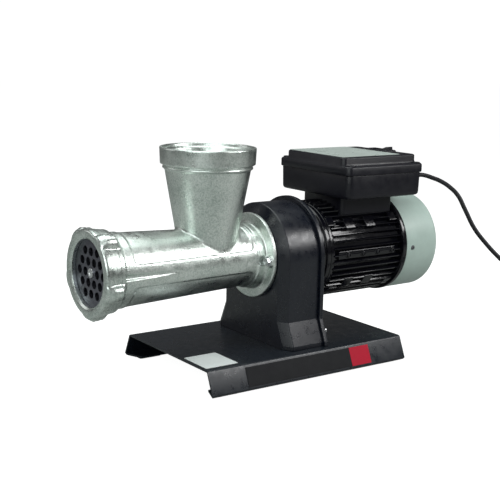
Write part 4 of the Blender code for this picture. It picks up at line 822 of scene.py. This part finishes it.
def feed_screw():
    """Auger with rounded flights, knife square and the pin seen in the plate."""
    front, back = -239.0, span("grinder_body", "s")[1] - 16.2
    pitch, handed = 40.0, span("auger", "s")[0]

    def field(x, s, z):
        r = np.sqrt(x * x + z * z)
        core = r - 15.0
        tip = barrel_radius(s) - 6 - 1.7
        turn = np.arctan2(z, x) / math.tau
        phase = (s - front + pitch / 2) / pitch - turn
        off = np.abs(phase - np.round(phase)) * pitch
        lean = 2.4 + 3.6 * np.clip((tip - r) / 26, 0, 1)
        flight = soft_max(off - lean, r - tip, 1.5) * 0.9
        screw = soft_min(core, flight, 5.0)
        return soft_max(screw, np.abs(s - (front + back) / 2) - (back - front) / 2, 1.0)

    cast_piece("feed_screw", field, (-48, front - 2, -48), (48, back + 2, 48), 1.5, "tinned_smooth",
               "drive_line", ["auger"])
    square = block(round_rect(6.2, 6.2, 0.8), handed + 14, front + 1, "s")
    pin = filleted([
        (0, handed + 1.2), (2.6, handed + 1.2, 0.3), (3.2, handed, 0.3), (6.6, handed, 0.7),
        (6.9, handed + 16), (0, handed + 16),
    ], steps=3)
    part("screw_pin", several(square, lathe(pin, 48)), "steel", "drive_line")


# Blade sections: distance from the shaft, leading and trailing side, thickness
BLADE = ((8, -6, 6, 8.2), (20, -5.4, 5.6, 7.4), (34, -5, 4.6, 6.4), (43.4, -4.4, 3.4, 5.4))


def cross_knife():
    front, back = span("knife", "s")
    hub = block([(13.8 * math.cos(a * math.tau / 48), 13.8 * math.sin(a * math.tau / 48)) for a in range(48)],
                front, back, "s")
    blades = []
    for i in range(4):
        turn = math.tau * (i + 0.5) / 4
        c, s = math.cos(turn), math.sin(turn)
        rings = []
        for reach, lead, trail, thick in BLADE:
            corners = (
                (trail, 0), (lead, 0), (lead + 0.6, thick * 0.45), (lead + 3.2, thick), (trail - 1, thick),
            )
            rings.append([(reach * c + v * s, front + w, reach * s - v * c) for v, w in corners])
        blades.append(loft(rings))
    centre = block(round_rect(6.7, 6.7, 0.4), front - 3, back + 3, "s")
    part("knife_hub", carved(hub, centre), "hard_steel", "drive_line", ["knife"], edge=0.4)
    part("knife_blades", several(*blades), "hard_steel", "drive_line", edge=0.3)


# ---- gearbox ----------------------------------------------------------------------------------

DRUM_R = 78.7
DRUM_DROP = 2.45
FOOT_HALF = 93.0
FLARE_LOW = -120
FLARE_HIGH = -87
COVER_LIP = 4.1
COVER_CROWN = 2.4


def pedestal_ring(station, inset, crown=0.0, arc=72, corner=3.0):
    """Section of the pedestal: half-round top, straight sides and a flared foot."""
    bottom = span("gearbox_housing", "z")[0]
    radius, foot = DRUM_R - inset, FOOT_HALF - inset
    right = filleted([
        (0, bottom), (foot, bottom, 0.6), (foot, FLARE_LOW, corner), (radius, FLARE_HIGH, corner),
        (radius, crown - DRUM_DROP),
    ], steps=5)
    top = [
        (radius * math.cos(math.pi * i / arc), radius * math.sin(math.pi * i / arc) + crown - DRUM_DROP)
        for i in range(1, arc)
    ]
    left = [(-x, z) for x, z in reversed(right[1:])]
    return [(x, station, z) for x, z in [*right, *top, *left]]


def gearbox():
    face, back = span("gearbox_housing", "s")
    bottom = span("gearbox_housing", "z")[0] + 8
    edge = filleted([
        (17.5, face), (14.5, face, 1.6), (0.0, face + 9.6, 2.4), (0.0, back - 0.2, 0.3), (1.0, back),
    ], steps=5)
    rings = [pedestal_ring(s, inset) for inset, s in edge]
    hollow = [pedestal_ring(s, inset) for inset, s in ((14, face + 8), (8, face + 14), (8, back + 4))]
    hollow = [[(x, s, max(z, bottom)) for x, s, z in ring] for ring in hollow]
    nose = rod(22, face - 5, face + 9, 64)
    part("gearbox_casting", carved(loft(rings), loft(hollow), nose), "black_casting",
         replaces=["gearbox_housing"], sharp=60)
    bearing = span("output_bearing_front", "x")[1] + 0.3
    hub = lathe([
        (22, face + 5), (37, face + 5), (37, 32), (bearing, 32), (bearing, face + 12), (22, face + 12),
    ], 64)
    lay = (0, (LAY_Z - AXIS_Z) / MM)
    reach = (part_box("layshaft_bearing_front")[1].x + 0.0003) / MM
    boss = lathe([(reach, face + 6), (reach + 7, face + 6), (reach + 7, 26), (reach, 26)], 48, centre=lay)
    part("bearing_hubs", several(hub, boss), "black_casting", sharp=40)
    low, high = back + 0.3, span("gearbox_cover", "s")[1]
    edge = filleted([
        (2.0, low), (-COVER_LIP, low, 0.5), (-COVER_LIP, high - 1.6, 1.6), (2.2 - COVER_LIP, high, 1.2),
        (4.0, high),
    ], steps=4)
    bore = rod(24.3, low - 5, high + 5, 96)
    lid_solid = loft([pedestal_ring(s, inset, COVER_CROWN) for inset, s in edge])
    part("gearbox_lid", carved(lid_solid, bore), "black_casting", replaces=["gearbox_cover"], sharp=60)


# ---- motor ------------------------------------------------------------------------------------

FINS = 44
FIN_R = 74.0
FIN_ROOT = 66.5


def fin_outline():
    """Motor frame's section: a ring of round-tipped fins, all alike."""
    points = []
    for i in range(FINS):
        middle = math.tau * i / FINS
        for off, radius in (
            (-0.5, FIN_ROOT), (-0.26, FIN_ROOT + 0.1), (-0.17, FIN_ROOT + 1.4), (-0.1, FIN_R - 0.9),
            (-0.055, FIN_R - 0.15), (0.055, FIN_R - 0.15), (0.1, FIN_R - 0.9), (0.17, FIN_ROOT + 1.4),
            (0.26, FIN_ROOT + 0.1),
        ):
            angle = middle + off * math.tau / FINS
            points.append((radius * math.cos(angle), radius * math.sin(angle)))
    return points


def motor():
    front, back = span("motor_frame", "s")
    fins = fin_outline()
    ends = ((front + 4, 0.93), (front + 4.4, 0.985), (front + 5.5, 1.0), (back - 1.5, 1.0), (back, 0.99))
    rings = [[(x * share, s, z * share) for x, z in fins] for s, share in ends]
    bore = rod(60.4, front - 5, back + 5, 96)
    part("finned_frame", carved(loft(rings), bore), "black_motor", replaces=["motor_frame"], sharp=40)
    band = filleted([(61, front), (71.6, front, 0.8), (71.6, front + 6.5, 1.2), (61, front + 8)], steps=3)
    part("frame_collar", lathe(band), "black_motor", sharp=40)
    low = span("gearbox_cover", "s")[1] + 0.3
    shield = filleted([
        (9.8, low - 7.8), (23.9, low - 7.8), (23.9, low), (66.5, low, 1.5), (68.5, low + 2.5, 1.5),
        (69.0, low + 11, 2.0),
        (72.0, low + 13.5, 1.0), (72.0, low + 19.6, 0.8), (62, low + 20, 0.3), (62, low + 8), (9.8, low + 8),
    ], steps=4)
    part("shield_casting", lathe(shield, 128), "black_motor", replaces=["front_end_shield"], sharp=40)
    ring_front, ring_back = front + 139.7, front + 147.7
    ring = filleted([
        (10, ring_front), (73.0, ring_front, 0.4), (76.4, ring_front + 0.8, 0.8),
        (76.4, ring_back - 0.6, 0.5), (75.0, ring_back), (10, ring_back),
    ], steps=3)
    part("rear_shield_casting", lathe(ring, 128), "black_motor", replaces=["rear_end_shield"], sharp=40)
    lugs, heads, studs = [], [], []
    for quarter in range(4):
        angle = math.radians(42 + 90 * quarter)
        turn = (math.cos(angle), math.sin(angle))
        for s0, s1 in ((front + 2, front + 15), (back - 15, back - 0.4)):
            lugs.append(turned_block(angle, 64, 73.6, 7.5, s0, s1))
        heads.append(block(hexagon(4.2, 69 * turn[0], 69 * turn[1], angle), front + 15.2, front + 18.6, "s"))
        heads.append(lathe([(0, ring_front - 3.4), (3.0, ring_front - 3.4), (3.9, ring_front - 2.4),
                            (3.9, ring_front - 0.2), (0, ring_front - 0.2)], 24,
                           centre=(69.5 * turn[0], 69.5 * turn[1])))
    for side in (-1, 1):
        land = 75.4
        lugs.append(turned_block(0 if side > 0 else math.pi, 64, 71.5, 6.0, front + 14, back - 14))
        for i in range(4):
            s = front + 32 + 29 * i
            stud = filleted([
                (0, 68), (5.2, 68), (5.2, 72.2, 0.6), (3.6, 72.4, 0.3), (3.6, land - 0.3, 0.8),
                (1.9, land, 0.3), (1.6, land - 1.4), (0, land - 1.4),
            ], steps=3)
            studs.append(lathe([(r, side * x) for r, x in stud], 24, "x", (s, 0)))
        for angle in (38, -38):
            turn = math.radians(angle if side > 0 else 180 - angle)
            lugs.append(turned_block(turn, 64, 73.8, 9.0, front + 34, front + 52))
            lugs.append(turned_block(turn, 64, 73.8, 9.0, front + 74, front + 92))
    part("frame_lugs", several(*lugs), "black_motor", sharp=30, edge=0.9)
    part("frame_studs", several(*studs), "black_motor", sharp=40)
    part("motor_bolts", several(*heads), "dark_steel", sharp=30, edge=0.3)


def turned_block(angle, low, high, half, s0, s1):
    """Block standing out from the motor at an angle round its shaft."""
    outline = filleted([(low, -half - 1), (high, -half, 1.5), (high, half, 1.5), (low, half + 1)], True, 3)
    return block(spun(outline, angle), s0, s1, "s")


def fan_cover():
    front, back = span("fan_cover", "s")
    radius = 75.55
    profile = filleted([
        (0, back), (60, back), (radius - 0.3, back, 9.0), (radius, front + 14), (radius, front, 0.5),
        (radius - 1.6, front, 0.4), (radius - 1.7, back - 2.4, 8.0), (0, back - 1.7),
    ], steps=10)
    slots = []
    for i in range(12):
        outline = filleted([(22, -2, 1.8), (56, -3.5, 3.2), (56, 3.5, 3.2), (22, 2, 1.8)], True, 4)
        slots.append(block(spun(outline, math.tau * (i + 0.5) / 12), back - 5, back + 5, "s"))
    centre_hole = rod(5, back - 5, back + 5, 32)
    part("fan_cowl", carved(lathe(profile, 128), *slots, centre_hole), "fan_cover_paint",
         replaces=["fan_cover"], sharp=50)
    s = sum(span("fan_cover_screw", "s")) / 2
    head = filleted([
        (0, 72.5), (3.4, 72.5), (3.4, 76.2, 0.5), (2.4, 77.3, 0.8), (1.5, 77.4, 0.2), (1.0, 76.4), (0, 76.4),
    ], steps=3)
    part("cowl_screw", lathe(head, 24, "x", (s, 0)), "dark_steel", replaces=["fan_cover_screw"],
         sharp=40)


# ---- terminal box -----------------------------------------------------------------------------

BOX_S = sum(span("box_lid", "s")) / 2
BOX_HALF_X = span("terminal_box", "x")[1] - 0.1
BOX_HALF_S = (span("terminal_box", "s")[1] - span("terminal_box", "s")[0]) / 2 - 0.1
LID_HALF_X = span("box_lid", "x")[1] - 0.1
LID_HALF_S = (span("box_lid", "s")[1] - span("box_lid", "s")[0]) / 2 - 0.1
RAISED_X = LID_HALF_X - 15.4
RAISED_S = LID_HALF_S - 2.5
SWITCH_X = 5.0
SWITCH_S = sum(span("switch_bezel", "s")) / 2


def box_loft(stages, steps=6, x=0.0, s=BOX_S):
    """Rounded box through (half x, half length, corner, height) stages."""
    return loft([
        [(a, b, z) for a, b in round_rect(hx, hs, corner, x, s, steps)] for hx, hs, corner, z in stages
    ])


def inset_stages(half_x, half_s, stages):
    return [(half_x - inset, half_s - inset, corner, z) for inset, corner, z in stages]


def terminal_box():
    low, high = 82.9, span("terminal_box", "z")[1]
    shell = box_loft(inset_stages(BOX_HALF_X, BOX_HALF_S, [
        (4.8, 9.0, low), (1.9, 10.0, low + 0.9), (0.5, 10.5, low + 2.8), (0.1, 10.5, low + 6),
        (0.0, 9.0, high - 1), (0.3, 9.0, high),
    ]))
    room = box_loft(inset_stages(BOX_HALF_X, BOX_HALF_S, [(3.0, 7.0, low + 3), (3.0, 7.0, high + 3)]))
    neck_front, neck_back = 135.4, 237.5
    middle, half = (neck_front + neck_back) / 2, (neck_back - neck_front) / 2
    neck = box_loft([
        (47.6, half, 8, 54.0), (47.6, half, 8, low - 3), (50.5, half + 1.5, 9, low + 1),
    ], s=middle)
    passage = box_loft([(37.6, half - 10, 6, 50.0), (37.6, half - 10, 6, low + 6)], s=middle)
    saddle = rod(74.4, 100, 300, 96)
    part("box_neck", carved(neck, saddle, passage), "black_plastic", sharp=40, edge=0.6)
    part("box_shell", carved(shell, room, passage), "black_plastic", replaces=["terminal_box"], sharp=50)


def lid():
    low, top = span("box_lid", "z")
    rim = low + 13.2
    skirt = box_loft(inset_stages(LID_HALF_X, LID_HALF_S, [
        (0.8, 9.0, low), (0.0, 9.5, low + 0.8), (0.0, 9.5, rim - 2.4), (0.8, 9.2, rim - 0.7), (2.1, 8.6, rim),
    ]) + [(RAISED_X + 2.2, RAISED_S + 0.4, 8.0, rim + 0.2)], 8)
    under = box_loft(inset_stages(LID_HALF_X, LID_HALF_S, [(3.4, 7.0, low - 3), (3.4, 7.0, rim - 3)]))
    inside = block(round_rect(RAISED_X - 3, RAISED_S - 3, 5.0, 0, BOX_S), rim - 6, top - 3)
    part("lid_skirt", carved(skirt, under, inside), "black_plastic", replaces=["box_lid"], sharp=45)
    raised = box_loft(inset_stages(RAISED_X, RAISED_S, [
        (-1.9, 8.5, rim - 2), (-0.7, 8.3, rim + 1.2), (0.0, 8.2, rim + 3), (0.1, 8.0, top - 2.2),
        (0.7, 7.6, top - 0.8), (2.1, 6.6, top),
    ]), 8)
    room = block(round_rect(23.3, 9.8, 0.2, SWITCH_X, SWITCH_S), top - 10, top + 5)
    part("lid_crown", carved(raised, room, inside), "black_plastic", sharp=45)
    screws, wells = [], []
    for x in (6.4 - BOX_HALF_X, BOX_HALF_X - 6.4):
        for s in (BOX_S - LID_HALF_S + 11, BOX_S + LID_HALF_S - 11):
            well = filleted([
                (0, rim - 0.6), (6.4, rim - 0.6), (6.4, rim + 1.6, 0.7), (4.6, rim + 1.6, 0.5),
                (4.4, rim - 0.2), (0, rim - 0.2),
            ], steps=3)
            wells.append(lathe(well, 32, "z", (x, s)))
            head = filleted([
                (0, rim - 0.3), (3.7, rim - 0.3), (3.5, rim + 0.8, 0.6), (0, rim + 1.1),
            ], steps=3)
            screws.append(carved(lathe(head, 24, "z", (x, s)), cross_recess(x, s, rim + 0.2, rim + 3)))
    part("lid_bosses", several(*wells), "black_plastic", sharp=40)
    for i, mesh in enumerate(screws):
        part(f"lid_screw_{i + 1}", mesh, "dark_steel", sharp=30)
    low, high = span("lid_nameplate", "z")
    (x0, x1), (s0, s1) = span("lid_nameplate", "x"), span("lid_nameplate", "s")
    mid, hx, hs = (s0 + s1) / 2, (x1 - x0) / 2, (s1 - s0) / 2
    sheet = box_loft([
        (hx, hs, 2.5, low), (hx, hs, 2.5, high - 0.15), (hx - 0.2, hs - 0.2, 2.4, high),
    ], 4, s=mid)
    part("rating_plate", sheet, "nameplate", replaces=["lid_nameplate"], sharp=30)


def cross_recess(x, s, low, high):
    arm, half = 2.2, 0.45
    outline = [(half, half), (half, arm), (-half, arm), (-half, half), (-arm, half), (-arm, -half),
               (-half, -half), (-half, -arm), (half, -arm), (half, -half), (arm, -half), (arm, half)]
    return block([(x + a, s + b) for a, b in outline], low, high)


def rocker_switch():
    low = span("switch_bezel", "z")[1] - 2.5
    top = span("switch_bezel", "z")[1]
    bezel = box_loft([(24.8, 11.3, 2.6, low), (24.9, 11.4, 2.8, low + 0.8), (24.2, 10.7, 2.6, top - 0.3),
                      (23.6, 10.1, 2.4, top)], 5, SWITCH_X, SWITCH_S)
    window = block(round_rect(21.4, 7.9, 0.8, SWITCH_X, SWITCH_S), low - 3, top + 3)
    part("bezel_frame", carved(bezel, window), "black_plastic", replaces=["switch_bezel"], sharp=45)
    well = block(round_rect(22.9, 9.4, 0.5, SWITCH_X, SWITCH_S), low - 12, low + 0.3)
    hollow = block(round_rect(21.4, 7.9, 0.5, SWITCH_X, SWITCH_S), low - 10.5, low + 3)
    part("switch_well", carved(well, hollow), "black_plastic")
    half = 20.6
    face = [(x, 1.9 + 2.5 * (abs(x) / half) ** 1.7) for x in np.linspace(half, -half, 21)]
    outline = [(-half, -1.0), (0, -3.5), (half, -1.0)] + face
    tilt = math.radians(-10)
    c, s = math.cos(tilt), math.sin(tilt)
    pivot_z = top - 2.8
    turned_face = [(SWITCH_X + x * c + z * s, pivot_z - x * s + z * c) for x, z in outline]
    rocker = loft([[(x, p, z) for x, z in turned_face] for p in (SWITCH_S - 7.0, SWITCH_S + 7.0)])
    part("rocker_cap", rocker, "rocker_plastic", "rocker", ["switch_rocker"],
         sharp=25, edge=0.5)
    marks = []
    for side in (-1, 1):
        x, lift = side * 12.5, 1.9 + 2.5 * (12.5 / half) ** 1.7
        slope = math.atan(side * 2.5 * 1.7 / half * (12.5 / half) ** 0.7) - tilt
        cx, cz = SWITCH_X + x * c + lift * s, pivot_z - x * s + lift * c
        if side < 0:
            flat = block(round_rect(0.5, 2.4, 0.2), -0.25, 0.12)
        else:
            flat = lathe([(1.7, -0.25), (2.4, -0.25), (2.4, 0.12), (1.7, 0.12)], 24, "z")
        points, faces = flat
        cs, sn = math.cos(slope), math.sin(slope)
        points = [(cx + a * cs - w * sn, SWITCH_S + b, cz + a * sn + w * cs) for a, b, w in points]
        marks.append((points, faces))
    part("rocker_marks", several(*marks), "mark_white", "rocker")


# ---- base -------------------------------------------------------------------------------------

def base():
    """Bent sheet: section through its bends, swept along and mitred at the flanges' ends."""
    bottom, top = 2 - 163, 37 - 163
    s0, s1 = span("base_plate", "s")
    sheet = 2.5
    outer = filleted([
        (-90, bottom), (-117, bottom, 2.0), (-120, bottom + 3, 2.0), (-106, top, 3.6), (106, top, 3.6),
        (120, bottom + 3, 2.0), (117, bottom, 2.0), (90, bottom),
    ], steps=6)
    inner = []
    for i, point in enumerate(outer):
        before = point - outer[i - 1] if i else outer[1] - point
        after = outer[i + 1] - point if i + 1 < len(outer) else before
        before, after = before / np.linalg.norm(before), after / np.linalg.norm(after)
        middle = (before + after) / np.linalg.norm(before + after)
        inner.append(point + np.array((middle[1], -middle[0])) * sheet / max(middle @ after, 0.5))
    rings = []
    for over, under in zip(outer, inner):
        cut = 12 * np.clip((120 - abs(over[0])) / 30, 0, 1) if over[1] < bottom + sheet else 0.0
        rings.append([
            (over[0], s0 + cut, over[1]), (over[0], s1 - cut, over[1]),
            (under[0], s1 - cut, under[1]), (under[0], s0 + cut, under[1]),
        ])
    part("base_sheet", loft(rings), "black_sheet", replaces=["base_plate"], sharp=30, edge=0.5)


# ---- bolts, gland, plug -----------------------------------------------------------------------

def hex_head(a, b, low, high, radius, axis):
    """Bolt head with a chamfered face."""
    rise = 1 if high > low else -1
    return loft([
        [along(axis, u, v, level) for u, v in hexagon(r, a, b)]
        for level, r in ((low, radius), (high - rise * 0.9, radius), (high, radius - 0.9))
    ])


def bolts():
    low, high = span("head_bolt_right", "s")[0], -3.3
    for side, x in (("left", -53.5), ("right", 53.5)):
        ring = filleted([(0, high), (7.6, high, 0.3), (7.6, high - 1.1, 0.4), (0, high - 1.1)], steps=2)
        washer = lathe(ring, 32, centre=(x, 0))
        head = hex_head(x, 0, high - 1.1, low, 6.4, "s")
        shank = rod(4.0, high, 12.0, 24, centre=(x, 0))
        part(f"flange_bolt_{side}", several(head, washer, shank), "steel",
             replaces=[f"head_bolt_{side}"], sharp=30)


def gland_and_relief():
    s0 = span("terminal_box", "s")[1]
    x, z = 40, span("strain_relief", "z")[0] / 2 + span("strain_relief", "z")[1] / 2
    nut = []
    for i in range(48):
        angle = math.tau * i / 48
        radius = 10.2 - 0.35 * (i % 2)
        nut.append((x + radius * math.cos(angle), z + radius * math.sin(angle)))
    thread = rod(7, s0 - 7, s0 + 1, 32, centre=(x, z))
    part("gland_nut", several(block(nut, s0 + 0.3, s0 + 8.6, "s"), thread), "black_plastic",
         replaces=["cable_gland"], sharp=20, edge=0.25)
    start, end = span("strain_relief", "s")
    profile = [(0, start)]
    ribs = 6
    for i in range(ribs):
        at = start + 2.5 + (end - start - 3.5) * i / ribs
        step = (end - start - 3.5) / ribs
        radius = 6.8 - 2.3 * i / ribs
        profile += [
            (radius, at - (2.5 if i == 0 else 0)), (radius, at + step * 0.62),
            (radius - 1.1, at + step * 0.68), (radius - 1.1, at + step * 0.97),
        ]
    profile += [(4.2, end - 0.8), (4.0, end), (0, end)]
    sleeve = lathe(profile, 48, centre=(x, z))
    return [part("relief_sleeve", sleeve, "black_rubber", replaces=["strain_relief"], sharp=35)]


def plug():
    """Round two-pin plug with a ribbed grip and a tapered boot, pins towards the front."""
    low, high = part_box("plug")
    x, z = (low.x + high.x) / 2 / MM, (low.z + high.z) / 2 / MM - AXIS_Z / MM
    back, front = span("plug", "s")[1], span("plug", "s")[0]
    face = front + 19
    boot = [(0, back), (4.2, back), (4.3, back - 3)]
    for i in range(5):
        at = back - 4 - i * 4
        boot += [
            (4.6 + i * 0.35, at), (4.7 + i * 0.35, at - 2.2),
            (4.0 + i * 0.35, at - 2.5), (4.0 + i * 0.35, at - 3.6),
        ]
    body = filleted([
        *boot, (6.4, back - 25.8), (11.3, back - 27, 1.5), (14.6, back - 41, 3.0), (18.4, back - 46.5, 2.0),
        (18.4, face, 1.2), (15.9, face, 0.4), (15.9, face + 0.6), (0, face + 0.6),
    ], steps=4)
    pins = []
    for side in (-1, 1):
        pin = filleted([(0, face + 3), (2.4, face + 3), (2.4, front, 1.8), (0, front)], steps=4)
        pins.append(lathe(pin, 24, centre=(x + side * 9.5, z)))
    ridges = []
    for i in range(14):
        outline = filleted([(12, -1.1), (18.4, -0.9, 0.7), (18.4, 0.9, 0.7), (12, 1.1)], True, 2)
        ridges.append(block(spun(outline, math.tau * i / 14, x, z), back - 49, back - 57, "s"))
    shell = part("plug_body", lathe(body, 64, centre=(x, z)), "black_rubber", replaces=["plug"], sharp=40)
    grip = part("plug_grip", several(*ridges), "black_rubber", sharp=40)
    prongs = part("plug_pins", several(*pins), "steel", sharp=40)
    disc = filleted([(0, face + 0.7), (15.7, face + 0.7, 0.2), (15.7, face + 0.2), (0, face + 0.2)], steps=1)
    front_disc = part("plug_face", lathe(disc, 48, centre=(x, z)), "black_plastic", sharp=30)
    return [shell, grip, prongs, front_disc]


# ---- everything -------------------------------------------------------------------------------

FINISHES = make_finishes()
make_camera()
make_studio()
SLOTS = {row["node"]: row["material_slot"] for row in frame["record"]["subparts"]}
for node_name, node in NODES.items():
    node.data.materials.clear()
    node.data.materials.append(FINISHES[SLOTS[node_name]])

mains_lead()
grinder_head()
ring_nut()
cutting_plate()
feed_screw()
cross_knife()
gearbox()
motor()
fan_cover()
terminal_box()
lid()
rocker_switch()
base()
bolts()
